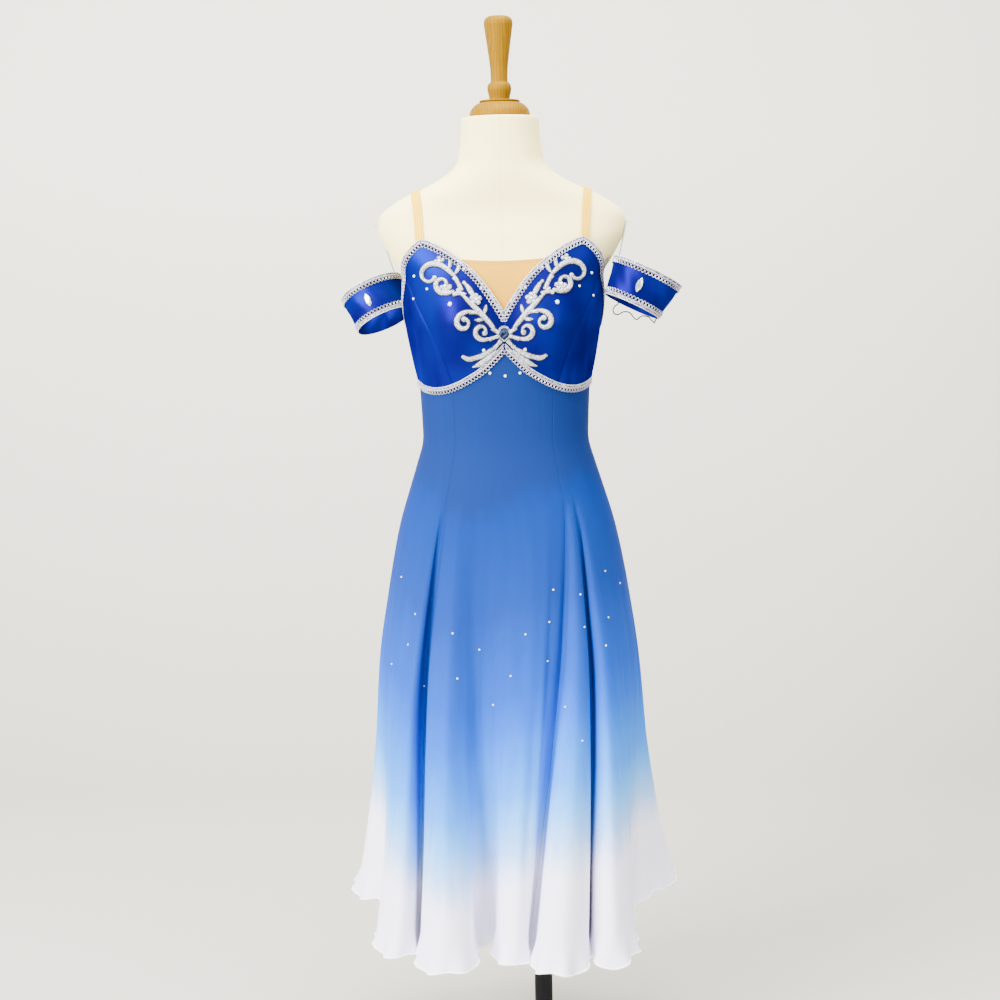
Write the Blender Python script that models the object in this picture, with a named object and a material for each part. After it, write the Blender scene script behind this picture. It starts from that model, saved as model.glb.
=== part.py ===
"""Off-the-shoulder dance dress worn by a limbless dress form on a round stand.

Units are metres, +Z is up, and the wearer faces -Y. The origin is the middle of the stand's
underside. Names ending in _l are at -X, on the left as seen from the front, and _r at +X.

Every piece of cloth is a wall laid on one garment surface. A point of that surface is given by
an angle round the body, 0 at centre front and 180 at centre back, and a height. Panels are
patches of it, and trims, straps, scrolls and stones are made from its points, moved outward.
"""

import math

import bmesh
import bpy
import numpy as np

# Cloth and trims: wall thicknesses, and the gap left between one layer and the next.
SEAM_GAP = 0.0003
LAYER_GAP = 0.0005
TRIM_GAP = 0.0012
SATIN_WALL = 0.0016
CREPE_WALL = 0.0012
MESH_WALL = 0.0010
STRAP_WALL = 0.0012
BRAID_WALL = 0.0016
SCROLL_WALL = 0.0018
DRESS_EASE = 0.0038

# Dress form: the rings of the torso and neck, bottom to top.
FORM_RINGS = [
    # height, half width, front depth, back depth
    (0.745, 0.1540, 0.098, 0.108),
    (0.790, 0.1600, 0.104, 0.115),
    (0.834, 0.1595, 0.106, 0.117),
    (0.865, 0.1560, 0.105, 0.115),
    (0.896, 0.1480, 0.102, 0.110),
    (0.927, 0.1385, 0.097, 0.102),
    (0.957, 0.1285, 0.091, 0.092),
    (0.988, 0.1210, 0.086, 0.082),
    (1.018, 0.1210, 0.085, 0.079),
    (1.048, 0.1222, 0.086, 0.081),
    (1.078, 0.1240, 0.089, 0.086),
    (1.108, 0.1295, 0.092, 0.091),
    (1.138, 0.1352, 0.094, 0.095),
    (1.168, 0.1410, 0.095, 0.098),
    (1.200, 0.1452, 0.094, 0.100),
    (1.220, 0.1465, 0.092, 0.100),
    (1.236, 0.1490, 0.089, 0.099),
    (1.254, 0.1600, 0.084, 0.096),
    (1.272, 0.1705, 0.078, 0.092),
    (1.294, 0.1812, 0.071, 0.087),
    (1.310, 0.1832, 0.065, 0.083),
    (1.324, 0.1805, 0.061, 0.080),
    (1.338, 0.1650, 0.060, 0.078),
    (1.352, 0.1420, 0.061, 0.076),
    (1.367, 0.1080, 0.062, 0.074),
    (1.381, 0.0830, 0.062, 0.071),
    (1.396, 0.0670, 0.060, 0.066),
    (1.418, 0.0610, 0.058, 0.061),
    (1.464, 0.0570, 0.056, 0.058),
]
SQUARENESS = 0.030
BUST_DEPTH = 0.028
BUST_X = 0.072
BUST_WIDTH = 0.047
BUST_Z = 1.168
BUST_RISE = 0.060
BUST_DROP = 0.045

# Dress form: wooden neck cap and finial, post and base.
CAP_RADIUS = 0.0445
CAP_HEIGHT = 0.022
FINIAL_PROFILE = [
    # radius, height above the cap
    (0.0300, 0.0003),
    (0.0300, 0.0030),
    (0.0150, 0.0042),
    (0.0158, 0.0100),
    (0.0176, 0.0180),
    (0.0172, 0.0240),
    (0.0150, 0.0280),
    (0.0123, 0.0300),
    (0.0132, 0.0500),
    (0.0160, 0.0740),
    (0.0205, 0.1050),
    (0.0212, 0.1120),
    (0.0200, 0.1190),
    (0.0140, 0.1235),
]
POST_RADIUS = 0.014
POST_X = 0.044
POST_Y = 0.004
SOCKET_RADIUS = 0.026
SOCKET_HEIGHT = 0.055
BASE_RADIUS = 0.165
BASE_HEIGHT = 0.016

# Bodice: seams that run from the underbust (bottom) to the top edge.
BODICE_LINES = [
    # angle at the underbust, angle at the top edge, height of the top edge, curve of the edge up to here
    ("centre_front", 0.0, 0.0, 1.1830, 1.0),
    ("peak", 18.0, 39.0, 1.2880, 1.55),
    ("princess_front", 35.0, 69.0, 1.2400, 0.9),
    ("side", 90.0, 97.0, 1.1640, 1.15),
    ("princess_back", 146.0, 142.0, 1.1690, 1.0),
    ("centre_back", 180.0, 180.0, 1.1620, 1.0),
]
PRINCESS_BEND = -5.0
UNDERBUST = [
    # angle, height
    (0.0, 1.1300),
    (7.0, 1.1130),
    (13.0, 1.1000),
    (21.0, 1.0880),
    (30.0, 1.0775),
    (40.0, 1.0700),
    (50.0, 1.0675),
    (62.0, 1.0695),
    (75.0, 1.0745),
    (90.0, 1.0785),
    (140.0, 1.0820),
    (180.0, 1.0830),
]
BODICE_ROWS = 8
BODICE_COLUMNS = {"peak": 6, "princess_front": 5, "side": 4, "princess_back": 6, "centre_back": 4}

# Skirt: the garment's own rings below the waist, where it leaves the form.
SKIRT_RINGS = [
    # height, half width, front depth, back depth
    (0.235, 0.2140, 0.2140, 0.2080),
    (0.300, 0.2120, 0.2060, 0.2020),
    (0.420, 0.2090, 0.1900, 0.1890),
    (0.552, 0.2050, 0.1700, 0.1730),
    (0.679, 0.1960, 0.1490, 0.1550),
    (0.741, 0.1862, 0.1380, 0.1450),
    (0.803, 0.1755, 0.1270, 0.1350),
    (0.865, 0.1620, 0.1150, 0.1230),
    (0.927, 0.1430, 0.1010, 0.1060),
    (0.957, 0.1335, 0.0945, 0.0960),
]
HEM_HEIGHT = 0.262
HEM_RISE_TO_BACK = 0.045
FOLD_TOP = 0.905
SKIRT_TOP_GAP = 0.0006
HEM_FOLDS = [
    # name, angle at the hip, hem x, hem y, growth (1 is straight, more opens late)
    ("centre_back_seam", -180.0, -0.006, 0.178, 1.2),
    ("back_fold_4", -172.0, -0.038, 0.236, 1.2),
    ("back_dip_4", -163.0, -0.070, 0.188, 1.2),
    ("back_fold_5", -153.0, -0.102, 0.228, 1.1),
    ("back_floor_5", -148.5, -0.112, 0.172, 1.1),
    ("princess_back_seam_l", -146.0, -0.121, 0.158, 1.1),
    ("back_floor_6", -143.0, -0.131, 0.165, 1.1),
    ("back_fold_6", -137.0, -0.154, 0.200, 1.2),
    ("back_fold_6_flank", -132.0, -0.176, 0.176, 1.25),
    ("back_dip_6", -127.0, -0.172, 0.126, 1.3),
    ("side_fold_l_back", -116.0, -0.226, 0.128, 3.0),
    ("side_fold_l", -105.0, -0.252, 0.076, 3.0),
    ("side_fold_l_front", -97.0, -0.238, 0.020, 3.0),
    ("side_seam_l", -90.0, -0.200, -0.010, 2.2),
    ("bay_l", -74.0, -0.188, -0.074, 1.5),
    ("panel_l", -57.0, -0.197, -0.108, 1.4),
    ("fold_2_left", -43.5, -0.207, -0.146, 1.3),
    ("fold_2", -40.5, -0.178, -0.200, 1.15),
    ("fold_2_right", -38.2, -0.155, -0.186, 1.05),
    ("floor_23_left", -36.8, -0.149, -0.142, 1.0),
    ("princess_seam_l", -35.5, -0.142, -0.132, 1.0),
    ("floor_23_right", -34.2, -0.135, -0.142, 1.0),
    ("fold_3_left", -32.4, -0.138, -0.216, 1.0),
    ("fold_3", -25.5, -0.104, -0.256, 1.0),
    ("fold_3_right", -19.5, -0.066, -0.228, 1.3),
    ("front_dip_left", -13.0, -0.058, -0.162, 2.0),
    ("front_dip_right", -8.0, -0.032, -0.160, 2.0),
    ("fold_4_left", -2.0, -0.024, -0.206, 1.7),
    ("fold_4", 7.0, -0.003, -0.234, 1.5),
    ("fold_4_right", 18.0, 0.014, -0.220, 1.2),
    ("fold_4_flank", 24.5, 0.0125, -0.206, 1.0),
    ("floor_45_left", 30.6, 0.013, -0.190, 1.0),
    ("princess_seam_r", 32.6, 0.019, -0.180, 1.0),
    ("floor_45_right", 34.0, 0.025, -0.190, 1.0),
    ("fold_5_left", 35.2, 0.030, -0.246, 1.0),
    ("fold_5", 36.6, 0.066, -0.264, 1.0),
    ("fold_5_right", 38.0, 0.103, -0.226, 1.0),
    ("floor_56_left", 39.0, 0.098, -0.158, 1.0),
    ("floor_56_right", 40.0, 0.110, -0.154, 1.0),
    ("fold_6_left", 41.3, 0.115, -0.214, 1.0),
    ("fold_6", 43.2, 0.142, -0.238, 1.05),
    ("fold_6_right", 46.0, 0.171, -0.200, 1.1),
    ("panel_r", 57.5, 0.173, -0.140, 1.3),
    ("bay_r", 73.0, 0.174, -0.080, 1.5),
    ("side_seam_r", 90.0, 0.188, -0.018, 2.2),
    ("side_fold_r_front", 97.0, 0.228, 0.020, 3.0),
    ("side_fold_r", 105.0, 0.257, 0.082, 3.0),
    ("side_fold_r_back", 116.0, 0.224, 0.132, 3.0),
    ("back_dip_1", 127.0, 0.172, 0.124, 1.3),
    ("back_fold_1_flank", 132.0, 0.179, 0.176, 1.25),
    ("back_fold_1", 137.0, 0.158, 0.200, 1.2),
    ("back_floor_1", 143.0, 0.135, 0.164, 1.1),
    ("princess_back_seam_r", 146.0, 0.125, 0.158, 1.1),
    ("back_floor_2", 148.5, 0.116, 0.170, 1.1),
    ("back_fold_2", 153.0, 0.106, 0.230, 1.1),
    ("back_dip_2", 162.0, 0.067, 0.186, 1.2),
    ("back_fold_3", 171.0, 0.030, 0.238, 1.2),
]
SKIRT_SEAMS = [
    # gore, first fold line, last fold line
    ("skirt_side_back_l", "princess_back_seam_l", "side_seam_l"),
    ("skirt_side_front_l", "side_seam_l", "princess_seam_l"),
    ("skirt_centre_front", "princess_seam_l", "princess_seam_r"),
    ("skirt_side_front_r", "princess_seam_r", "side_seam_r"),
    ("skirt_side_back_r", "side_seam_r", "princess_back_seam_r"),
    ("skirt_centre_back_r", "princess_back_seam_r", "centre_back_seam"),
    ("skirt_centre_back_l", "centre_back_seam", "princess_back_seam_l"),
]
COLUMNS_PER_FOLD_LINE = 2
SKIRT_LEVELS = [0.0, 0.05, 0.10, 0.15, 0.20, 0.26, 0.34, 0.46, 0.63, 0.81, 1.0]

# Trims and straps.
BRAID_WIDTH = 0.0112
UNDERBUST_BRAID_ABOVE = 0.0060
UNDERBUST_BRAID_BELOW = 0.0052
STRAP_WIDTH = 0.0122
STRAP_TOP_X = 0.127
STRAP_BACK_X = 0.088
STRAP_FRONT_X = 0.119
STRAP_FRONT_Z = 1.272
STRAP_BACK_Z = 1.170
INSERT_TOP = 1.2590
INSERT_BOTTOM = 1.1640
INSERT_TUCK = 4.0

# Armbands: hollow tapered rings that hang beside the bodice.
ARMBANDS = [
    # name, centre, tilt outward, tilt back, half width at the top, taper, depth share
    ("l", (-0.1900, 0.048, 1.1937), -23.7, 18.9, 0.0476, 0.0044, 0.86),
    ("r", (0.2010, -0.040, 1.2112), 26.2, 4.9, 0.0523, 0.0103, 0.90),
]
BAND_HEIGHT = 0.0560
BAND_WALL = 0.0014
BAND_COLUMNS = 24
BAND_BRAID_OVERHANG = 0.0004
SHOULDER_PINS = [
    # angle, height: places on the rings that the torso is built from
    (-100.0, 1.310),
    (80.0, 1.310),
]
PIN_HEAD_RADIUS = 0.0014
PIN_SHAFT_RADIUS = 0.0006
PIN_REACH = 0.0100
PIN_LOOP_PLACE = 0.0032
LOOP_RADIUS = 0.0008
LOOP_GAP = 0.0009
LOOP_TURNS = {"l": 64.0, "r": -120.0}
ELASTIC_RADIUS = 0.0006
ELASTIC_CATCH = 0.004
ELASTIC_TURNS = (-75.0, 75.0)
ELASTIC_ROUTE = [
    # x, y, z of the loose elastic between its two ends, below the band at +X
    (0.1625, -0.053, 1.1990),
    (0.1682, -0.054, 1.1918),
    (0.1612, -0.055, 1.1847),
    (0.1608, -0.056, 1.1775),
    (0.1666, -0.057, 1.1744),
    (0.1754, -0.058, 1.1784),
    (0.1841, -0.059, 1.1770),
    (0.1899, -0.060, 1.1699),
    (0.1946, -0.061, 1.1669),
    (0.2015, -0.062, 1.1719),
    (0.2103, -0.063, 1.1707),
    (0.2165, -0.060, 1.1648),
    (0.2203, -0.055, 1.1618),
    (0.2224, -0.0512, 1.1650),
]

# Beaded scrolls on the cups: each is a curl whose bend grows evenly along its length.
SCROLLS = [
    # name, start x, start z, heading, length, bend at the start, bend at the end, width, gap below
    ("stem", 0.0135, 1.1580, 52.0, 0.0780, -4.0, 2.0, 0.0066, 0.0008),
    ("crown", 0.0680, 1.2330, 45.0, 0.0900, 6.0, -118.0, 0.0066, 0.0011),
    ("outer_curl", 0.0700, 1.2135, -28.0, 0.0600, 24.0, 170.0, 0.0062, 0.0008),
    ("inner_leaf", 0.0425, 1.2035, 64.0, 0.0270, 0.0, -30.0, 0.0060, 0.0008),
    ("middle_curl", 0.0485, 1.1840, 0.0, 0.0600, -30.0, -180.0, 0.0062, 0.0008),
    ("lower_curl", 0.0215, 1.1460, -22.0, 0.0520, 40.0, 180.0, 0.0060, 0.0008),
    ("wing", 0.0150, 1.1315, -34.0, 0.0500, 0.0, 46.0, 0.0066, 0.0008),
]
SCROLL_STEPS = 12
STONE_SHAPE = [
    # share of the outline, height above the setting
    (1.00, 0.0000),
    (0.97, 0.0016),
    (0.62, 0.0032),
]
CENTRE_STONE = (0.0072, 0.0088)
CENTRE_STONE_Z = 1.1520
BAND_STONE = (0.0048, 0.0108)
BAND_STONE_TURNS = {"l": -11.0, "r": -8.0}

COLOURS = {
    # slot: red, green, blue, roughness, metallic
    "royal_satin": (0.018, 0.060, 0.560, 0.32, 0.0),
    "blue_crepe": (0.070, 0.200, 0.560, 0.62, 0.0),
    "nude_mesh": (0.800, 0.580, 0.360, 0.70, 0.0),
    "nude_elastic": (0.850, 0.680, 0.400, 0.60, 0.0),
    "silver_braid": (0.780, 0.780, 0.800, 0.30, 0.6),
    "beaded_scroll": (0.860, 0.860, 0.860, 0.35, 0.2),
    "crystal": (0.300, 0.400, 0.600, 0.05, 0.0),
    "clear_elastic": (0.900, 0.900, 0.880, 0.20, 0.0),
    "brown_elastic": (0.140, 0.110, 0.080, 0.60, 0.0),
    "form_cloth": (0.860, 0.820, 0.710, 0.75, 0.0),
    "turned_wood": (0.640, 0.360, 0.110, 0.38, 0.0),
    "black_metal": (0.020, 0.020, 0.022, 0.40, 0.7),
    "pin_steel": (0.620, 0.620, 0.640, 0.25, 1.0),
}


def clear_scene():
    """Removes the objects of the file the script is run in."""
    for obj in list(bpy.data.objects):
        bpy.data.objects.remove(obj, do_unlink=True)


def finish_of(slot):
    """The Principled material of a slot, made once."""
    found = bpy.data.materials.get(slot)
    if found:
        return found
    red, green, blue, roughness, metallic = COLOURS[slot]
    made = bpy.data.materials.new(slot)
    made.use_nodes = True
    shader = made.node_tree.nodes["Principled BSDF"]
    shader.inputs["Base Color"].default_value = (red, green, blue, 1.0)
    shader.inputs["Roughness"].default_value = roughness
    shader.inputs["Metallic"].default_value = metallic
    return made


def add_solid(name, points, faces, slot, sharp_degrees=35.0):
    """One closed solid from its points and faces, with its normals facing out."""
    mesh = bpy.data.meshes.new(name)
    mesh.from_pydata([tuple(p) for p in points], [], faces)
    work = bmesh.new()
    work.from_mesh(mesh)
    bmesh.ops.recalc_face_normals(work, faces=work.faces)
    bmesh.ops.triangulate(work, faces=[f for f in work.faces if len(f.verts) > 3])
    work.to_mesh(mesh)
    work.free()
    mesh.shade_smooth()
    mesh.set_sharp_from_angle(angle=math.radians(sharp_degrees))
    mesh.materials.append(finish_of(slot))
    obj = bpy.data.objects.new(name, mesh)
    bpy.context.scene.collection.objects.link(obj)
    return obj


def smooth_columns(rows, at):
    """The columns of a table at other places: cubic between rows, with slopes from the rows on each side."""
    table = np.array(rows, float)
    x = table[:, 0]
    at = np.clip(np.asarray(at, float), x[0], x[-1])
    i = np.clip(np.searchsorted(x, at, side="right") - 1, 0, len(x) - 2)
    h = x[i + 1] - x[i]
    t = (at - x[i]) / h
    found = []
    for column in range(1, table.shape[1]):
        y = table[:, column]
        slope = np.gradient(y, x)
        blend = (
            (2 * t**3 - 3 * t**2 + 1) * y[i]
            + (t**3 - 2 * t**2 + t) * h * slope[i]
            + (3 * t**2 - 2 * t**3) * y[i + 1]
            + (t**3 - t**2) * h * slope[i + 1]
        )
        found.append(blend)
    return found


def ring_point(angle, z, half_width, front, back):
    """A point of a body ring: an ellipse, fuller at its corners, deeper in front where the bust is."""
    fuller = 1 + SQUARENESS * np.sin(2 * angle) ** 2
    x = half_width * np.sin(angle) * fuller
    depth = np.where(np.cos(angle) > 0, front, back)
    y = -depth * np.cos(angle) * fuller
    spread = np.where(z > BUST_Z, BUST_RISE, BUST_DROP)
    side = np.exp(-(((x - BUST_X) / BUST_WIDTH) ** 2)) + np.exp(-(((x + BUST_X) / BUST_WIDTH) ** 2))
    bust = BUST_DEPTH * side * np.exp(-(((z - BUST_Z) / spread) ** 2))
    y = y - bust * np.clip(np.cos(angle), 0, 1) ** 0.5
    return np.stack([x, y, z], axis=-1)


def form_point(angle, z):
    """A point of the dress form's surface."""
    half_width, front, back = smooth_columns(FORM_RINGS, z)
    return ring_point(angle, z, half_width, front, back)


def dress_rings():
    """The garment's rings: its own below the waist, and the form's with ease above it."""
    above = [row for row in FORM_RINGS if row[0] > SKIRT_RINGS[-1][0] + 0.01]
    return SKIRT_RINGS + [(z, *(size + DRESS_EASE for size in sizes)) for z, *sizes in above]


DRESS_RINGS = dress_rings()


def dress_point(angle, z):
    """A point of the garment's surface, without its folds."""
    half_width, front, back = smooth_columns(DRESS_RINGS, z)
    return ring_point(angle, z, half_width, front, back)


def normal_of(surface, angle, z):
    """The outward unit normal of a surface at angles and heights."""
    step_angle, step_z = 1e-3, 2e-4
    across = surface(angle + step_angle, z) - surface(angle - step_angle, z)
    up = surface(angle, z + step_z) - surface(angle, z - step_z)
    normal = np.cross(across, up)
    return normal / np.linalg.norm(normal, axis=-1, keepdims=True)


def move_on_surface(surface, angle, z, direction, distance):
    """Angles and heights reached by going some distance along the surface in a 3-D direction."""
    step_angle, step_z = 1e-3, 2e-4
    across = (surface(angle + step_angle, z) - surface(angle - step_angle, z)) / (2 * step_angle)
    up = (surface(angle, z + step_z) - surface(angle, z - step_z)) / (2 * step_z)
    aa = (across * across).sum(-1)
    au = (across * up).sum(-1)
    uu = (up * up).sum(-1)
    da = (across * direction).sum(-1)
    du = (up * direction).sum(-1)
    det = aa * uu - au * au
    return angle + distance * (da * uu - du * au) / det, z + distance * (du * aa - da * au) / det


def grid_faces(rows, columns, start, closed=False):
    """Quads of a grid of points that are numbered row by row."""
    last = columns if closed else columns - 1
    return [
        (
            start + r * columns + c,
            start + r * columns + (c + 1) % columns,
            start + (r + 1) * columns + (c + 1) % columns,
            start + (r + 1) * columns + c,
        )
        for r in range(rows - 1)
        for c in range(last)
    ]


def add_wall(name, points, normals, inner, outer, slot, closed=False):
    """A wall of cloth: a grid of points moved out to both its faces and joined round its edges."""
    rows, columns = points.shape[:2]
    count = rows * columns
    both = np.concatenate([(points + normals * outer).reshape(-1, 3), (points + normals * inner).reshape(-1, 3)])
    faces = grid_faces(rows, columns, 0, closed)
    faces += [tuple(reversed(face)) for face in grid_faces(rows, columns, count, closed)]
    steps = range(columns if closed else columns - 1)
    for row in (0, rows - 1):
        for c in steps:
            a = row * columns + c
            b = row * columns + (c + 1) % columns
            faces.append((a, b, b + count, a + count))
    if not closed:
        for column in (0, columns - 1):
            for r in range(rows - 1):
                a = r * columns + column
                b = a + columns
                faces.append((a, b, b + count, a + count))
    return add_solid(name, both, faces, slot)


def pull_in_edges(points, gap, edges):
    """Moves the named edges of a grid of points inward, which leaves a seam's gap to the next piece."""
    moved = points.copy()
    inward = {
        "first_column": (np.s_[:, 0], np.s_[:, 1]),
        "last_column": (np.s_[:, -1], np.s_[:, -2]),
        "first_row": (np.s_[0], np.s_[1]),
        "last_row": (np.s_[-1], np.s_[-2]),
    }
    for edge in edges:
        at, beside = inward[edge]
        way = points[beside] - points[at]
        moved[at] += gap * way / np.linalg.norm(way, axis=-1, keepdims=True)
    return moved


def add_turned(name, profile, x, y, base_z, slot, sides=24):
    """A turned solid: a profile of radius and height spun round a vertical line, closed at both ends."""
    turn = np.linspace(0, 2 * math.pi, sides, endpoint=False)
    points = [(x + r * math.cos(a), y + r * math.sin(a), base_z + h) for r, h in profile for a in turn]
    faces = grid_faces(len(profile), sides, 0, closed=True)
    bottom, top = len(points), len(points) + 1
    points += [(x, y, base_z + profile[0][1]), (x, y, base_z + profile[-1][1])]
    last = (len(profile) - 1) * sides
    faces += [(bottom, (c + 1) % sides, c) for c in range(sides)]
    faces += [(top, last + c, last + (c + 1) % sides) for c in range(sides)]
    return add_solid(name, points, faces, slot)


def add_torso():
    """The dress form's body: torso, shoulders and neck in one smooth closed solid."""
    heights = np.array([0.745, 0.752, 0.79, 0.84, 0.89, 0.94, 0.985, 1.03, 1.075, 1.11, 1.14, 1.168, 1.198, 1.224])
    heights = np.concatenate([heights, [row[0] for row in FORM_RINGS if row[0] > 1.23]])
    columns = 36
    angle = np.linspace(-math.pi, math.pi, columns, endpoint=False)
    points = form_point(angle[None, :], np.repeat(heights[:, None], columns, axis=1))
    centre = np.array([0.0, 0.004, 0.0])
    points[0] = centre + (points[0] - centre) * np.array([0.93, 0.93, 1.0])
    rows = len(heights)
    flat = [tuple(p) for p in points.reshape(-1, 3)]
    faces = grid_faces(rows, columns, 0, closed=True)
    faces.append(tuple(reversed(range(columns))))
    faces.append(tuple(range((rows - 1) * columns, rows * columns)))
    return add_solid("form_torso", flat, faces, "form_cloth", sharp_degrees=50.0)


def add_stand():
    """The wooden cap and finial on the neck, and the post and round base below the torso."""
    neck_top = FORM_RINGS[-1][0]
    torso_bottom = FORM_RINGS[0][0]
    dome = np.radians(np.linspace(0, 62, 7))
    cap = [(CAP_RADIUS - 0.0015, SEAM_GAP), (CAP_RADIUS, 0.003)]
    cap += [
        (0.026 + (CAP_RADIUS - 0.026) * math.cos(a), 0.003 + (CAP_HEIGHT - 0.003) * math.sin(a) / math.sin(dome[-1]))
        for a in dome[1:]
    ]
    add_turned("form_neck_cap", cap, 0.0, 0.0, neck_top, "turned_wood", sides=28)
    add_turned("form_finial", FINIAL_PROFILE, 0.0, 0.0, neck_top + CAP_HEIGHT, "turned_wood", sides=20)
    post = [(POST_RADIUS, BASE_HEIGHT + SEAM_GAP), (POST_RADIUS, torso_bottom - SEAM_GAP)]
    add_turned("stand_post", post, POST_X, POST_Y, 0.0, "black_metal", sides=20)
    collar_inner = POST_RADIUS + SEAM_GAP
    collar = ring_profile(collar_inner, SOCKET_RADIUS, BASE_HEIGHT + SEAM_GAP, BASE_HEIGHT + SOCKET_HEIGHT)
    add_ring("stand_collar", collar, POST_X, POST_Y, "black_metal", sides=24)
    base = [
        (BASE_RADIUS - 0.002, 0.0),
        (BASE_RADIUS, 0.002),
        (BASE_RADIUS, BASE_HEIGHT - 0.007),
        (BASE_RADIUS - 0.004, BASE_HEIGHT - 0.003),
        (BASE_RADIUS - 0.012, BASE_HEIGHT),
    ]
    add_turned("stand_base", base, POST_X, POST_Y, 0.0, "black_metal", sides=40)


def ring_profile(inner, outer, low, high):
    """The section of a collar, as a closed loop of radius and height, with its top edge broken."""
    return [(inner, low), (outer, low), (outer, high - 0.004), (outer - 0.004, high), (inner, high)]


def add_ring(name, profile, x, y, slot, sides):
    """A ring: a closed section spun round a vertical line."""
    turn = np.linspace(0, 2 * math.pi, sides, endpoint=False)
    points = [(x + r * math.cos(a), y + r * math.sin(a), h) for r, h in profile for a in turn]
    count = len(profile)
    faces = [
        (
            k * sides + c,
            k * sides + (c + 1) % sides,
            ((k + 1) % count) * sides + (c + 1) % sides,
            ((k + 1) % count) * sides + c,
        )
        for k in range(count)
        for c in range(sides)
    ]
    return add_solid(name, points, faces, slot)


def underbust_height(angle):
    """Height of the underbust seam at an angle, the same on both sides."""
    return smooth_columns(UNDERBUST, np.degrees(np.abs(angle)))[0]


def bodice_grid(side, first_line, last_line):
    """Angles and heights of one bodice patch between two of its lines, bottom row to top row."""
    names = [row[0] for row in BODICE_LINES]
    first, last = names.index(first_line), names.index(last_line)
    share = np.linspace(0, 1, BODICE_ROWS + 1)[:, None]
    angles, heights = [], []
    for k in range(first, last):
        _, low_a, top_a, top_z, _ = BODICE_LINES[k]
        name, low_b, top_b, next_z, curve = BODICE_LINES[k + 1]
        steps = BODICE_COLUMNS[name]
        across = np.linspace(0, 1, steps + 1)[None, :]
        across = across if k + 1 == last else across[:, :-1]
        low = low_a + (low_b - low_a) * across
        top = top_a + (top_b - top_a) * across
        bend = PRINCESS_BEND * across if name == "princess_front" else 0.0
        bend = PRINCESS_BEND * (1 - across) if name == "side" else bend
        angle = np.radians(low + (top - low) * share + bend * np.sin(math.pi * share))
        edge = next_z + (top_z - next_z) * (1 - across) ** curve
        bottom = underbust_height(np.radians(low))
        heights.append(bottom + (edge - bottom) * share)
        angles.append(angle)
    return side * np.concatenate(angles, axis=1), np.concatenate(heights, axis=1)


def add_bodice():
    """Satin bodice: centre and side cups in front and one panel each side of the back opening."""
    panels = [("cup_centre", "centre_front", "princess_front")]
    panels += [("cup_side", "princess_front", "side"), ("bodice_side_back", "side", "princess_back")]
    panels += [("bodice_centre_back", "princess_back", "centre_back")]
    for side, letter in ((-1, "l"), (1, "r")):
        for name, first_line, last_line in panels:
            angle, z = bodice_grid(side, first_line, last_line)
            points = dress_point(angle, z)
            normals = normal_of(dress_point, angle, z)
            points = pull_in_edges(points, SEAM_GAP / 2, ["first_column", "last_column", "first_row"])
            add_wall(f"{name}_{letter}", points, normals, 0.0, SATIN_WALL, "royal_satin")


def hem_lines():
    """The fold lines as arrays: angle at the hip, hem place and growth."""
    table = np.array([row[1:] for row in HEM_FOLDS], float)
    return np.radians(table[:, 0]), table[:, 1:3], table[:, 3]


def round_the_hem(at):
    """Angle, hem place and growth at places counted in fold lines, on a smooth closed curve through them."""
    angle, place, growth = hem_lines()
    count = len(angle)
    at = np.asarray(at, float)
    k = np.floor(at).astype(int)
    t = (at - k)[:, None]
    before, here, after, beyond = (place[(k + shift) % count] for shift in (-1, 0, 1, 2))
    curve = 0.5 * (
        2 * here
        + (after - before) * t
        + (2 * before - 5 * here + 4 * after - beyond) * t**2
        + (3 * here - before - 3 * after + beyond) * t**3
    )
    flat = t[:, 0]
    turn = np.where((k % count) == count - 1, 2 * math.pi, 0.0) + 2 * math.pi * (k // count)
    low = angle[k % count] + 2 * math.pi * (k // count)
    high = angle[(k + 1) % count] + turn
    return low + (high - low) * flat, curve, growth[k % count] * (1 - flat) + growth[(k + 1) % count] * flat


def skirt_surface(at, levels):
    """Points of the skirt from the underbust (level 0) to the hem (level 1), with its folds."""
    angle, hem, growth = round_the_hem(at)
    body_angle = (angle + math.pi) % (2 * math.pi) - math.pi
    top = underbust_height(body_angle) - SKIRT_TOP_GAP
    hem_z = HEM_HEIGHT + HEM_RISE_TO_BACK * hem[:, 1]
    level = np.asarray(levels, float)[:, None]
    z = top + (hem_z - top) * level
    wide = np.broadcast_to(body_angle, z.shape)
    plain = dress_point(wide, z)
    at_hem = dress_point(body_angle, hem_z)
    fall = np.clip((FOLD_TOP - z) / (FOLD_TOP - hem_z), 0, 1)
    grown = fall**growth
    points = plain.copy()
    points[..., 0] += grown * (hem[:, 0] - at_hem[:, 0])
    points[..., 1] += grown * (hem[:, 1] - at_hem[:, 1])
    return points


def grid_normals(points):
    """Outward normals of a grid that closes round, from its neighbouring points."""
    across = np.roll(points, -1, axis=1) - np.roll(points, 1, axis=1)
    down = np.gradient(points, axis=0)
    normals = np.cross(down, across)
    return normals / np.linalg.norm(normals, axis=-1, keepdims=True)


def add_skirt():
    """Gored skirt: seven crepe panels that share one folded surface."""
    names = [row[0] for row in HEM_FOLDS]
    count = len(names) * COLUMNS_PER_FOLD_LINE
    at = np.arange(count) / COLUMNS_PER_FOLD_LINE
    points = skirt_surface(at, SKIRT_LEVELS)
    normals = grid_normals(points)
    for gore, first_line, last_line in SKIRT_SEAMS:
        first = names.index(first_line) * COLUMNS_PER_FOLD_LINE
        last = names.index(last_line) * COLUMNS_PER_FOLD_LINE
        last += count if last <= first else 0
        columns = np.arange(first, last + 1) % count
        panel = pull_in_edges(points[:, columns], SEAM_GAP / 2, ["first_column", "last_column", "first_row"])
        add_wall(gore, panel, normals[:, columns], 0.0, CREPE_WALL, "blue_crepe")


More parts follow.
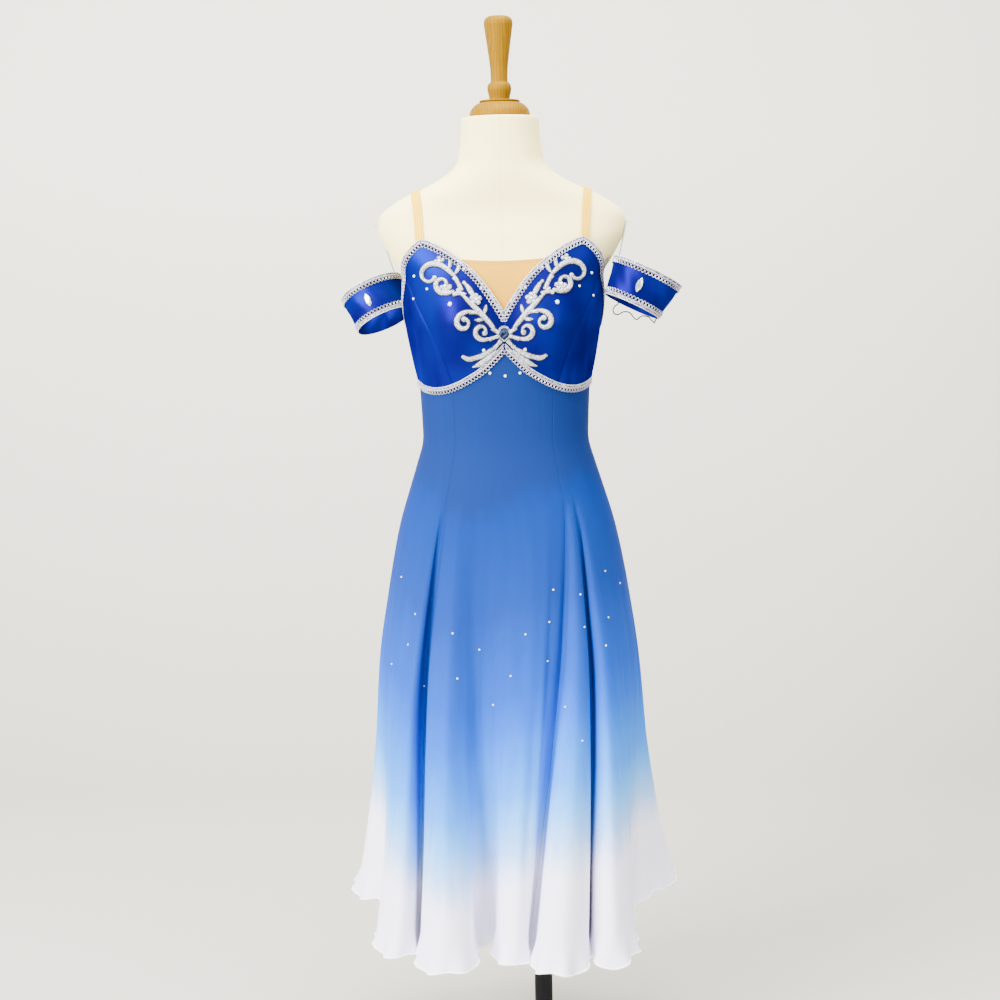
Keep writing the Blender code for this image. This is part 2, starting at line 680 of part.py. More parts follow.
def add_insert():
    """Nude net panel that fills the V of the neckline, tucked behind both cups."""
    steps = np.linspace(0, 1, 7)[:, None]
    z = INSERT_BOTTOM + (INSERT_TOP - INSERT_BOTTOM) * steps
    _, _, _, low, _ = BODICE_LINES[0]
    _, _, reach, high, curve = BODICE_LINES[1]
    rise = np.clip((z - low) / (high - low), 0, 1)
    half = reach * (1 - (1 - rise) ** (1 / curve)) + INSERT_TUCK
    across = np.linspace(-1, 1, 11)[None, :]
    angle = np.radians(half * across)
    sag = 0.003 * (1 - across**2) * steps
    z = z - sag
    points = form_point(angle, z)
    normals = normal_of(form_point, angle, z)
    inner = 0.0015
    add_wall("neckline_insert", points, normals, inner, inner + MESH_WALL, "nude_mesh")


def strap_path(side):
    """Angles and heights of a strap's middle, from behind the cup's peak over the shoulder to the back."""
    count = 22
    t = np.linspace(0, 1, count)
    front = t < 0.5
    x_front = STRAP_FRONT_X + (STRAP_TOP_X - STRAP_FRONT_X) * np.clip(2 * t, 0, 1)
    x_back = STRAP_TOP_X + (STRAP_BACK_X - STRAP_TOP_X) * np.clip(2 * t - 1, 0, 1)
    x = np.where(front, x_front, x_back)
    return side * x, t


def profile_at(x, t):
    """Points where a vertical slice at x meets the form: t is 0 at the strap's front end and 1 at its back end."""
    heights = np.linspace(1.15, 1.395, 400)
    half_width = smooth_columns(FORM_RINGS, heights)[0]
    found = []
    for one_x, one_t in zip(x, t):
        inside = np.nonzero(half_width > abs(one_x) * 1.0005)[0]
        ridge = heights[inside[-1]]
        low = STRAP_FRONT_Z if one_t < 0.5 else STRAP_BACK_Z
        run = 1 - abs(2 * one_t - 1)
        z = low + (ridge - low) * math.sin(run * math.pi / 2)
        wide = smooth_columns(FORM_RINGS, z)[0]
        angle = math.asin(min(1.0, abs(one_x) / wide))
        for _ in range(6):
            fuller = 1 + SQUARENESS * math.sin(2 * angle) ** 2
            angle = math.asin(min(1.0, abs(one_x) / (wide * fuller)))
        angle = math.pi - angle if one_t >= 0.5 else angle
        found.append(form_point(np.array(math.copysign(angle, one_x)), np.array(z)))
    return np.array(found)


def add_straps():
    """Nude elastic straps from behind the cup peaks, over the shoulders, to behind the back edge."""
    for side, letter in ((-1, "l"), (1, "r")):
        x, t = strap_path(side)
        edges = [profile_at(x + side * offset, t) for offset in (-STRAP_WIDTH / 2, 0.0, STRAP_WIDTH / 2)]
        points = np.stack(edges, axis=0)
        along = np.gradient(points, axis=1)
        across = points[-1] - points[0]
        normals = np.cross(along, np.broadcast_to(across, along.shape))
        centre = np.array([side * 0.11, 0.004, 1.27])
        outward = np.sign(((points - centre) * normals).sum(-1, keepdims=True).mean())
        normals = outward * normals / np.linalg.norm(normals, axis=-1, keepdims=True)
        lift = 0.0011
        add_wall(f"strap_{letter}", points, normals, lift, lift + STRAP_WALL, "nude_elastic")


def edge_strip(angle, z, inside, above, below):
    """Angles and heights of a strip beside an edge line, mitred where the line turns.

    The line runs over the garment; inside is a 3-D direction that points to the strip's inner side."""
    line = dress_point(angle, z)
    normal = normal_of(dress_point, angle, z)
    leave = np.diff(line, axis=0)
    leave /= np.linalg.norm(leave, axis=-1, keepdims=True)
    ahead = np.concatenate([leave, leave[-1:]])
    behind = np.concatenate([leave[:1], leave])
    side_a = np.cross(normal, ahead)
    side_b = np.cross(normal, behind)
    way = side_a + side_b
    way /= np.linalg.norm(way, axis=-1, keepdims=True)
    stretch = 1 / np.clip((way * side_a).sum(-1), 0.5, 1)
    way *= np.sign((way * inside).sum(-1, keepdims=True))
    rows_a, rows_z = [], []
    for distance in (-above, (below - above) / 2, below):
        moved_a, moved_z = move_on_surface(dress_point, angle, z, way, distance * stretch)
        rows_a.append(moved_a)
        rows_z.append(moved_z)
    return np.array(rows_a), np.array(rows_z)


def add_strip(name, angle, z, slot, base, wall):
    """A trim laid on the garment from the angles and heights of its points."""
    points = dress_point(angle, z)
    normals = normal_of(dress_point, angle, z)
    add_wall(name, points, normals, base, base + wall, slot)


def add_braids():
    """Silver braid along the top edge, from the V over the peak to the back, and over the underbust seam."""
    base = SATIN_WALL + TRIM_GAP
    for side, letter in ((-1, "l"), (1, "r")):
        angle, z = bodice_grid(side, "centre_front", "centre_back")
        edge_a, edge_z = angle[-1].copy(), z[-1].copy()
        inside = dress_point(angle[-2], z[-2]) - dress_point(edge_a, edge_z)
        strip_a, strip_z = edge_strip(edge_a, edge_z, inside, 0.0004, BRAID_WIDTH)
        strip_a[:, 0] = side * 0.0
        strip_z[-1, 0] = edge_z[0] - BRAID_WIDTH / math.sin(math.radians(36.0))
        strip_z[1, 0] = (strip_z[0, 0] + strip_z[-1, 0]) / 2
        strip_a[:, -1] = side * math.pi
        strip_a[:, 0] += side * 0.0022
        strip_a[:, -1] -= side * 0.0022
        add_strip(f"top_braid_{letter}", strip_a, strip_z, "silver_braid", base, BRAID_WALL)
        low_a, low_z = angle[0].copy(), z[0].copy()
        down = np.zeros((len(low_a), 3)) + np.array([0.0, 0.0, -1.0])
        strip_a, strip_z = edge_strip(low_a, low_z, down, UNDERBUST_BRAID_ABOVE, UNDERBUST_BRAID_BELOW)
        strip_a[:, 0] = side * 0.0022
        strip_a[:, -1] = side * (math.pi - 0.0022)
        add_strip(f"underbust_braid_{letter}", strip_a, strip_z, "silver_braid", base, BRAID_WALL)


def turned_frame(tilt_out, tilt_back):
    """Axes of an armband: across, back and up, turned outward and then back."""
    out, back = math.radians(tilt_out), math.radians(tilt_back)
    across = np.array([math.cos(out), 0.0, -math.sin(out)])
    up = np.array([math.sin(out), 0.0, math.cos(out)])
    depth = np.array([0.0, 1.0, 0.0])
    return across, depth * math.cos(back) - up * math.sin(back), up * math.cos(back) + depth * math.sin(back)


def band_surface(band, turn, height):
    """Points and outward normals of an armband at a turn round it and a height above its middle."""
    _, centre, tilt_out, tilt_back, half_width, taper, depth_share = band
    across, depth, up = turned_frame(tilt_out, tilt_back)
    wide = half_width - taper * (0.5 - height / BAND_HEIGHT)
    x = wide * np.sin(turn)
    y = -wide * depth_share * np.cos(turn)
    points = np.array(centre) + x[..., None] * across + y[..., None] * depth + height[..., None] * up
    normal_x = np.sin(turn) * depth_share
    normal_y = -np.cos(turn)
    normals = normal_x[..., None] * across + normal_y[..., None] * depth
    return points, normals / np.linalg.norm(normals, axis=-1, keepdims=True)


def add_band_patch(name, band, heights, inner, outer, slot):
    """A closed hoop of an armband between two heights."""
    turn = np.linspace(0, 2 * math.pi, BAND_COLUMNS, endpoint=False)
    turn, height = np.meshgrid(turn, np.array(heights))
    points, normals = band_surface(band, turn, height)
    add_wall(name, points, normals, inner, outer, slot, closed=True)


def add_armbands():
    """Satin armbands with a braid round each edge and one pointed stone in front."""
    half = BAND_HEIGHT / 2
    edge = half + BAND_BRAID_OVERHANG
    lift = BAND_WALL + SEAM_GAP
    for band in ARMBANDS:
        letter = band[0]
        add_band_patch(f"armband_{letter}", band, (-half, half), 0.0, BAND_WALL, "royal_satin")
        for place, low, high in (("top", edge - BRAID_WIDTH, edge), ("bottom", -edge, BRAID_WIDTH - edge)):
            name = f"armband_{place}_braid_{letter}"
            add_band_patch(name, band, (low, high), lift, lift + BRAID_WALL, "silver_braid")
        turn, reach = np.radians(BAND_STONE_TURNS[letter]), BAND_STONE[1]
        foot, outward = band_surface(band, turn, np.array(-reach))
        head, _ = band_surface(band, turn, np.array(reach))
        up = (head - foot) / np.linalg.norm(head - foot)
        across = np.cross(up, outward)
        across /= np.linalg.norm(across)
        normal = np.cross(across, up)
        seat = (foot + head) / 2 + normal * (BAND_WALL + LAYER_GAP)
        add_stone(f"armband_stone_{letter}", seat, across, up, normal, BAND_STONE, pointed=True)


def add_stone(name, seat, across, up, normal, size, pointed):
    """A cut stone: a flat back, a girdle and a smaller table, oval or pointed at both ends."""
    sides = 12
    turn = np.linspace(0, 2 * math.pi, sides, endpoint=False)
    half_width, half_height = size
    narrow = np.abs(np.cos(turn)) ** (1.5 if pointed else 1.0) * np.sign(np.cos(turn))
    points = []
    for share, rise in STONE_SHAPE:
        for wide, tall in zip(narrow, np.sin(turn)):
            place = seat + across * half_width * wide * share + up * half_height * tall * share
            points.append(place + normal * rise)
    faces = grid_faces(len(STONE_SHAPE), sides, 0, closed=True)
    last = (len(STONE_SHAPE) - 1) * sides
    faces += [tuple(reversed(range(sides))), tuple(range(last, last + sides))]
    add_solid(name, points, faces, "crystal", sharp_degrees=10.0)


def add_centre_stone():
    """The drop stone where the two cups meet."""
    angle, z = np.array(0.0), np.array(CENTRE_STONE_Z)
    normal = normal_of(dress_point, angle, z)
    seat = dress_point(angle, z) + normal * (SATIN_WALL + LAYER_GAP)
    across = np.array([1.0, 0.0, 0.0])
    up = np.cross(normal, across)
    up = up if up[2] > 0 else -up
    add_stone("centre_stone", seat, across, up, normal, CENTRE_STONE, pointed=False)


def angle_at(x, z):
    """The angle at which the garment has a given x at a given height, in front."""
    wide = smooth_columns(DRESS_RINGS, z)[0]
    angle = np.arcsin(np.clip(x / wide, -1, 1))
    for _ in range(8):
        fuller = 1 + SQUARENESS * np.sin(2 * angle) ** 2
        angle = np.arcsin(np.clip(x / (wide * fuller), -1, 1))
    return angle


def scroll_outline(scroll):
    """Left edge, middle and right edge of a scroll in x and z: a curl that tapers to a round bud."""
    _, x, z, heading, length, bend_start, bend_end, width, _ = scroll
    s = np.linspace(0, 1, SCROLL_STEPS + 1)
    run = length * s
    turned = math.radians(heading) + bend_start * run + (bend_end - bend_start) * run**2 / (2 * length)
    step = length / SCROLL_STEPS
    middle = (turned[1:] + turned[:-1]) / 2
    px = x + np.concatenate([[0.0], np.cumsum(np.cos(middle) * step)])
    pz = z + np.concatenate([[0.0], np.cumsum(np.sin(middle) * step)])
    half = width / 2 * (0.45 + 0.55 * np.sin(math.pi * np.clip(s * 1.25, 0, 1)) ** 0.7)
    half[s > 0.8] = width / 2 * (0.45 + 0.25 * np.sin(math.pi * (s[s > 0.8] - 0.8) / 0.4))
    side_x, side_z = -np.sin(turned) * half, np.cos(turned) * half
    return np.array([px + side_x, px, px - side_x]), np.array([pz + side_z, pz, pz - side_z])


def add_scrolls():
    """Thick beaded scrolls on each cup, mirrored across the centre."""
    for scroll in SCROLLS:
        x, z = scroll_outline(scroll)
        base = SATIN_WALL + scroll[-1]
        for side, letter in ((-1, "l"), (1, "r")):
            angle = angle_at(side * x, z)
            add_strip(f"scroll_{scroll[0]}_{letter}", angle, z, "beaded_scroll", base, SCROLL_WALL)


def add_tube(name, route, radius, slot, reference=(0.0, 1.0, 0.0), closed=False, sides=6):
    """A round cord along a route of points that nowhere runs along the reference direction."""
    route = np.array(route, float)
    count = len(route)
    if closed:
        along = np.roll(route, -1, axis=0) - np.roll(route, 1, axis=0)
    else:
        along = np.gradient(route, axis=0)
    along /= np.linalg.norm(along, axis=-1, keepdims=True)
    side = np.cross(along, np.array(reference))
    side /= np.linalg.norm(side, axis=-1, keepdims=True)
    other = np.cross(along, side)
    turn = np.linspace(0, 2 * math.pi, sides, endpoint=False)
    points = [route[k] + radius * (math.cos(a) * side[k] + math.sin(a) * other[k]) for k in range(count) for a in turn]
    faces = [
        (
            k * sides + c,
            k * sides + (c + 1) % sides,
            ((k + 1) % count) * sides + (c + 1) % sides,
            ((k + 1) % count) * sides + c,
        )
        for k in range(count if closed else count - 1)
        for c in range(sides)
    ]
    if not closed:
        last = (count - 1) * sides
        faces += [tuple(reversed(range(sides))), tuple(range(last, last + sides))]
    return add_solid(name, points, faces, slot)


def smooth_route(route, per_step):
    """Points on a smooth curve through a cord's route."""
    rows = [(k, *point) for k, point in enumerate(route)]
    at = np.linspace(0, len(route) - 1, (len(route) - 1) * per_step + 1)
    return np.stack(smooth_columns(rows, at), axis=-1)


def add_hangers():
    """A pin in each shoulder end and the clear elastic loop that hangs the armband from it."""
    for side, band, (turned, height) in zip((-1, 1), ARMBANDS, SHOULDER_PINS):
        letter = band[0]
        angle, height = np.radians(turned), np.array(height)
        wall = form_point(angle, height)
        outward = normal_of(form_point, angle, height)
        add_pin(f"shoulder_pin_{letter}", wall, outward)
        pin_middle = wall + outward * PIN_LOOP_PLACE
        rim, _ = band_surface(band, np.radians(LOOP_TURNS[letter]), np.array(BAND_HEIGHT / 2))
        route, across = loop_route(pin_middle, rim)
        add_tube(f"armband_loop_{letter}", route, LOOP_RADIUS, "clear_elastic", reference=across, closed=True)


def loop_route(top, bottom):
    """A flat loop of elastic round a pin at the top, drawn down to an edge, and the direction across its plane."""
    way = bottom - top
    length = np.linalg.norm(way)
    way = way / length
    back = np.array([0.0, 1.0, 0.0])
    wide = back - way * (back @ way)
    wide /= np.linalg.norm(wide)
    grip = PIN_SHAFT_RADIUS + LOOP_RADIUS + SEAM_GAP
    turn = np.linspace(0, math.pi, 6)
    over = [top - way * grip * math.sin(a) + wide * grip * math.cos(a) for a in turn]
    low = bottom - way * (grip + LOOP_RADIUS + LOOP_GAP)
    under = [low + way * grip * math.sin(a) - wide * grip * math.cos(a) for a in turn]
    return over + under, np.cross(way, wide)


def add_pin(name, wall, outward):
    """A dressmaker's pin standing out of the form: a fine shaft with a round head."""
    sides = 8
    side = np.cross(outward, np.array([0.0, 0.0, 1.0]))
    side /= np.linalg.norm(side)
    other = np.cross(outward, side)
    profile = [(PIN_SHAFT_RADIUS, SEAM_GAP), (PIN_SHAFT_RADIUS, PIN_REACH - 2 * PIN_HEAD_RADIUS)]
    for a in np.radians([-50, -10, 30, 65]):
        profile.append((PIN_HEAD_RADIUS * math.cos(a), PIN_REACH - PIN_HEAD_RADIUS * (1 - math.sin(a))))
    turn = np.linspace(0, 2 * math.pi, sides, endpoint=False)
    points = [
        wall + outward * reach + radius * (math.cos(a) * side + math.sin(a) * other)
        for radius, reach in profile
        for a in turn
    ]
    faces = grid_faces(len(profile), sides, 0, closed=True)
    last = (len(profile) - 1) * sides
    faces += [tuple(reversed(range(sides))), tuple(range(last, last + sides))]
    add_solid(name, points, faces, "pin_steel")


def add_elastic():
    """The loose brown elastic that hangs below the armband at +X, caught inside its lower edge at both ends."""
    band = ARMBANDS[1]
    ends = []
    for turn in np.radians(ELASTIC_TURNS):
        rim, rim_out = band_surface(band, turn, np.array(ELASTIC_CATCH - BAND_HEIGHT / 2))
        ends.append(rim - rim_out * (ELASTIC_RADIUS + LAYER_GAP))
    route = smooth_route([ends[0], *ELASTIC_ROUTE, ends[1]], 2)
    add_tube("loose_elastic", route, ELASTIC_RADIUS, "brown_elastic", sides=6)


def main():
    clear_scene()
    add_torso()
    add_stand()
    add_bodice()
    add_skirt()
    add_insert()
    add_straps()
    add_braids()
    add_armbands()
    add_centre_stone()
    add_scrolls()
    add_hangers()
    add_elastic()


main()
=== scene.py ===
"""The finished look of an off-the-shoulder dance dress on a dress form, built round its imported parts.

Units are metres, +Z is up and the wearer faces -Y. A point of the garment is given by an angle round
the body, 0 at centre front and 180 at centre back, and a height, as in the part's own source.
"""

import math

import bpy
import numpy as np
from bpy.props import FloatProperty, FloatVectorProperty, IntProperty, PointerProperty
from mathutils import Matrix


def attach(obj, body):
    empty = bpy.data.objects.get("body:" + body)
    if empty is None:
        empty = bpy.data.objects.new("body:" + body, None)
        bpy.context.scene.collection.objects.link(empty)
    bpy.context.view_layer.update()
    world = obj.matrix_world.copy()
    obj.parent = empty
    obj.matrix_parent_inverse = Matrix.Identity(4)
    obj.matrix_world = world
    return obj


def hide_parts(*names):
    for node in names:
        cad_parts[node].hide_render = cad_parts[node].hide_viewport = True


bl_info = {
    "name": "Dance dress",
    "version": (1, 0, 0),
    "blender": (4, 5, 0),
    "location": "View3D > Sidebar > Dress",
    "description": "Builds a dance dress on its dress form, in cloth, braid, beads and stones",
    "category": "Object",
}

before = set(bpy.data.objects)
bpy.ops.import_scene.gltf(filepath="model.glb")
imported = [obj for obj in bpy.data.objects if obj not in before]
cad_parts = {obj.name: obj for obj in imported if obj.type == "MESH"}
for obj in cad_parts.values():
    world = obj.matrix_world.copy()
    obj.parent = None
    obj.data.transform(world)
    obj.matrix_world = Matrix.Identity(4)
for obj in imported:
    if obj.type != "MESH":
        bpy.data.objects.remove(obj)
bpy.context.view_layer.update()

# Walls of cloth, the ease between the dress form and the garment, and the gap between two solid parts.
SATIN_WALL = 0.0014
CREPE_WALL = 0.0007
DRESS_EASE = 0.0038
PART_GAP = 0.0003

# Steps by which a row of trim is moved over the garment, square to its edge.
WALK_STEPS = 4

# Dress form: the rings of the torso and neck, bottom to top.
FORM_RINGS = [
    # height, half width, front depth, back depth
    (0.745, 0.1540, 0.098, 0.108),
    (0.790, 0.1600, 0.104, 0.115),
    (0.834, 0.1595, 0.106, 0.117),
    (0.865, 0.1560, 0.105, 0.115),
    (0.896, 0.1480, 0.102, 0.110),
    (0.927, 0.1385, 0.097, 0.102),
    (0.957, 0.1285, 0.091, 0.092),
    (0.988, 0.1210, 0.086, 0.082),
    (1.018, 0.1210, 0.085, 0.079),
    (1.048, 0.1222, 0.086, 0.081),
    (1.078, 0.1240, 0.089, 0.086),
    (1.108, 0.1295, 0.092, 0.091),
    (1.138, 0.1352, 0.094, 0.095),
    (1.168, 0.1410, 0.095, 0.098),
    (1.200, 0.1452, 0.094, 0.100),
    (1.220, 0.1465, 0.092, 0.100),
    (1.236, 0.1490, 0.089, 0.099),
    (1.254, 0.1600, 0.084, 0.096),
    (1.272, 0.1705, 0.078, 0.092),
    (1.294, 0.1812, 0.071, 0.087),
    (1.310, 0.1832, 0.065, 0.083),
    (1.324, 0.1805, 0.061, 0.080),
    (1.338, 0.1650, 0.060, 0.078),
    (1.352, 0.1420, 0.061, 0.076),
    (1.367, 0.1080, 0.062, 0.074),
    (1.381, 0.0830, 0.062, 0.071),
    (1.396, 0.0670, 0.060, 0.066),
    (1.418, 0.0610, 0.058, 0.061),
    (1.464, 0.0570, 0.056, 0.058),
]
SQUARENESS = 0.030
BUST_DEPTH = 0.028
BUST_X = 0.072
BUST_WIDTH = 0.047
BUST_Z = 1.168
BUST_RISE = 0.060
BUST_DROP = 0.045

# Dress form: wooden neck cap and finial, post and base.
NECK_TOP = 1.464
CAP_HEIGHT = 0.022
CAP_PROFILE = [
    # radius, height above the neck
    (0.0425, 0.0004),
    (0.0444, 0.0026),
    (0.0442, 0.0070),
    (0.0425, 0.0115),
    (0.0395, 0.0155),
    (0.0355, 0.0190),
    (0.0315, 0.0211),
    (0.0300, 0.0216),
]
FINIAL_BASE = [
    # radius, height above the cap
    (0.0290, 0.0003),
    (0.0299, 0.0010),
    (0.0299, 0.0024),
    (0.0290, 0.0030),
    (0.0158, 0.0036),
]
FINIAL_PROFILE = [
    # radius, height above the cap
    (0.0150, 0.0045),
    (0.0158, 0.0100),
    (0.0176, 0.0180),
    (0.0172, 0.0240),
    (0.0150, 0.0280),
    (0.0126, 0.0305),
    (0.0131, 0.0500),
    (0.0160, 0.0740),
    (0.0203, 0.1050),
    (0.0212, 0.1120),
    (0.0199, 0.1185),
    (0.0150, 0.1226),
    (0.0070, 0.1235),
]
TURNING_STEPS = 6
POST_RADIUS = 0.014
POST_BOTTOM = 0.0163
POST_X = 0.044
POST_Y = 0.004
BASE_PROFILE = [
    # radius, height above the ground
    (0.1630, 0.0),
    (0.1645, 0.0006),
    (0.1650, 0.0020),
    (0.1650, 0.0090),
    (0.1642, 0.0115),
    (0.1610, 0.0135),
    (0.1570, 0.0150),
    (0.1530, 0.0158),
    (0.1480, 0.0160),
]
TORSO_BOTTOM = 0.745
TORSO_FOOT = [
    # height, share of the ring's width where the jersey turns under the torso
    (TORSO_BOTTOM, 0.93),
    (TORSO_BOTTOM + 0.0008, 0.968),
    (TORSO_BOTTOM + 0.0022, 0.985),
    (TORSO_BOTTOM + 0.0045, 0.996),
]
TORSO_HEAD = [
    # height, share of the ring's width where the jersey turns in below the neck cap
    (1.4626, 0.995),
    (1.4636, 0.985),
    (NECK_TOP, 0.965),
]

# Bodice: seams that run from the underbust (bottom) to the top edge.
BODICE_LINES = [
    # angle at the underbust, angle at the top edge, height of the top edge, curve of the edge up to here
    ("centre_front", 0.0, 0.0, 1.1830, 1.0),
    ("peak", 18.0, 39.0, 1.2880, 1.55),
    ("princess_front", 35.0, 69.0, 1.2400, 0.9),
    ("side", 90.0, 97.0, 1.1640, 1.15),
    ("princess_back", 146.0, 142.0, 1.1690, 1.0),
    ("centre_back", 180.0, 180.0, 1.1620, 1.0),
]
PRINCESS_BEND = -5.0
UNDERBUST = [
    # angle, height
    (0.0, 1.1300),
    (7.0, 1.1130),
    (13.0, 1.1000),
    (21.0, 1.0880),
    (30.0, 1.0775),
    (40.0, 1.0700),
    (50.0, 1.0675),
    (62.0, 1.0695),
    (75.0, 1.0745),
    (90.0, 1.0785),
    (140.0, 1.0820),
    (180.0, 1.0830),
]
BODICE_PANELS = [
    # panel, first line, last line, columns
    ("cup_centre", "centre_front", "princess_front", 64),
    ("cup_side", "princess_front", "side", 40),
    ("bodice_side_back", "side", "princess_back", 40),
    ("bodice_centre_back", "princess_back", "centre_back", 30),
]

# Skirt: the garment's own rings below the waist, where it leaves the form.
SKIRT_RINGS = [
    # height, half width, front depth, back depth
    (0.235, 0.2140, 0.2140, 0.2080),
    (0.300, 0.2120, 0.2060, 0.2020),
    (0.420, 0.2090, 0.1900, 0.1890),
    (0.552, 0.2050, 0.1700, 0.1730),
    (0.679, 0.1960, 0.1490, 0.1550),
    (0.741, 0.1862, 0.1380, 0.1450),
    (0.803, 0.1755, 0.1270, 0.1350),
    (0.865, 0.1620, 0.1150, 0.1230),
    (0.927, 0.1430, 0.1010, 0.1060),
    (0.957, 0.1335, 0.0945, 0.0960),
]
HEM_HEIGHT = 0.262
HEM_RISE_TO_BACK = 0.045
FOLD_TOP = 0.905
HEM_FOLDS = [
    # name, angle at the hip, hem x, hem y, growth (1 is straight, more opens late)
    ("centre_back_seam", -180.0, -0.006, 0.178, 1.2),
    ("back_fold_4", -172.0, -0.038, 0.236, 1.2),
    ("back_dip_4", -163.0, -0.070, 0.188, 1.2),
    ("back_fold_5", -153.0, -0.102, 0.228, 1.1),
    ("back_floor_5", -148.5, -0.112, 0.172, 1.1),
    ("princess_back_seam_l", -146.0, -0.121, 0.158, 1.1),
    ("back_floor_6", -143.0, -0.131, 0.165, 1.1),
    ("back_fold_6", -137.0, -0.154, 0.200, 1.2),
    ("back_fold_6_flank", -132.0, -0.176, 0.176, 1.25),
    ("back_dip_6", -127.0, -0.172, 0.126, 1.3),
    ("side_fold_l_back", -116.0, -0.226, 0.128, 3.0),
    ("side_fold_l", -105.0, -0.252, 0.076, 3.0),
    ("side_fold_l_front", -97.0, -0.238, 0.020, 3.0),
    ("side_seam_l", -90.0, -0.200, -0.010, 2.2),
    ("bay_l", -74.0, -0.188, -0.074, 1.5),
    ("panel_l", -57.0, -0.197, -0.108, 1.4),
    ("fold_2_left", -43.5, -0.207, -0.146, 1.3),
    ("fold_2", -40.5, -0.178, -0.200, 1.15),
    ("fold_2_right", -38.2, -0.155, -0.186, 1.05),
    ("floor_23_left", -36.8, -0.149, -0.142, 1.0),
    ("princess_seam_l", -35.5, -0.142, -0.132, 1.0),
    ("floor_23_right", -34.2, -0.135, -0.142, 1.0),
    ("fold_3_left", -32.4, -0.138, -0.216, 1.0),
    ("fold_3", -25.5, -0.104, -0.256, 1.0),
    ("fold_3_right", -19.5, -0.066, -0.228, 1.3),
    ("front_dip_left", -13.0, -0.058, -0.162, 2.0),
    ("front_dip_right", -8.0, -0.032, -0.160, 2.0),
    ("fold_4_left", -2.0, -0.024, -0.206, 1.7),
    ("fold_4", 7.0, -0.003, -0.234, 1.5),
    ("fold_4_right", 18.0, 0.014, -0.220, 1.2),
    ("fold_4_flank", 24.5, 0.0125, -0.206, 1.0),
    ("floor_45_left", 30.6, 0.013, -0.190, 1.0),
    ("princess_seam_r", 32.6, 0.019, -0.180, 1.0),
    ("floor_45_right", 34.0, 0.025, -0.190, 1.0),
    ("fold_5_left", 35.2, 0.030, -0.246, 1.0),
    ("fold_5", 36.6, 0.066, -0.264, 1.0),
    ("fold_5_right", 38.0, 0.103, -0.226, 1.0),
    ("floor_56_left", 39.0, 0.098, -0.158, 1.0),
    ("floor_56_right", 40.0, 0.110, -0.154, 1.0),
    ("fold_6_left", 41.3, 0.115, -0.214, 1.0),
    ("fold_6", 43.2, 0.142, -0.238, 1.05),
    ("fold_6_right", 46.0, 0.171, -0.200, 1.1),
    ("panel_r", 57.5, 0.173, -0.140, 1.3),
    ("bay_r", 73.0, 0.174, -0.080, 1.5),
    ("side_seam_r", 90.0, 0.188, -0.018, 2.2),
    ("side_fold_r_front", 97.0, 0.228, 0.020, 3.0),
    ("side_fold_r", 105.0, 0.257, 0.082, 3.0),
    ("side_fold_r_back", 116.0, 0.224, 0.132, 3.0),
    ("back_dip_1", 127.0, 0.172, 0.124, 1.3),
    ("back_fold_1_flank", 132.0, 0.179, 0.176, 1.25),
    ("back_fold_1", 137.0, 0.158, 0.200, 1.2),
    ("back_floor_1", 143.0, 0.135, 0.164, 1.1),
    ("princess_back_seam_r", 146.0, 0.125, 0.158, 1.1),
    ("back_floor_2", 148.5, 0.116, 0.170, 1.1),
    ("back_fold_2", 153.0, 0.106, 0.230, 1.1),
    ("back_dip_2", 162.0, 0.067, 0.186, 1.2),
    ("back_fold_3", 171.0, 0.030, 0.238, 1.2),
]
SKIRT_SEAMS = [
    # gore, first fold line, last fold line
    ("skirt_side_back_l", "princess_back_seam_l", "side_seam_l"),
    ("skirt_side_front_l", "side_seam_l", "princess_seam_l"),
    ("skirt_centre_front", "princess_seam_l", "princess_seam_r"),
    ("skirt_side_front_r", "princess_seam_r", "side_seam_r"),
    ("skirt_side_back_r", "side_seam_r", "princess_back_seam_r"),
    ("skirt_centre_back_r", "princess_back_seam_r", "centre_back_seam"),
    ("skirt_centre_back_l", "centre_back_seam", "princess_back_seam_l"),
]
DYE_LINE = [
    # angle at the hip, height where the blue has half faded to white
    (-180.0, 0.490),
    (-140.0, 0.505),
    (-105.0, 0.521),
    (-72.0, 0.505),
    (-43.0, 0.482),
    (-37.0, 0.465),
    (-27.0, 0.452),
    (-5.0, 0.468),
    (10.0, 0.484),
    (25.0, 0.498),
    (34.0, 0.500),
    (38.0, 0.505),
    (44.0, 0.512),
    (60.0, 0.510),
    (75.0, 0.508),
    (105.0, 0.500),
    (140.0, 0.505),
    (180.0, 0.490),
]
# The dye fades from this far above its line, over this height.
DYE_ABOVE = 0.45
DYE_REACH = 0.60

# Small shapes of the skirt's cloth: its rows crowd at both ends, its seams sink in and its hem waves.
ROW_SPREAD = 0.06
SEAM_SINK = 0.0018
SEAM_COLUMNS = 0.7
HEM_SHARE = 0.055
WAVE_DRIFTS = [
    # how far the hem's waves lead and lag in radians, how many times round the hem
    (0.9, 5),
    (0.6, 11),
]
DRAPE_DROP = 0.5
DRAPES = [
    # depth of the soft ripples, ripples per radian round the body, ripples per metre up it
    (0.0011, 23, 12.0),
    (0.0008, 41, -9.0),
]

# Small folds of the satin: drags near the side seam, gathers over the underbust, and the sunk seams.
DRAG_DEPTH = 0.0030
DRAG_ANGLE = 72
DRAG_REACH = 17
GATHER_DEPTH = 0.0007
SATIN_SINK, SATIN_PROUD, SATIN_LIFT = -0.0026, 0.0034, 0.0006
SATIN_SEAM_SINK = 0.0012
SATIN_SEAM_WIDTH = 0.0016
SATIN_SEAM_EASE = 0.012

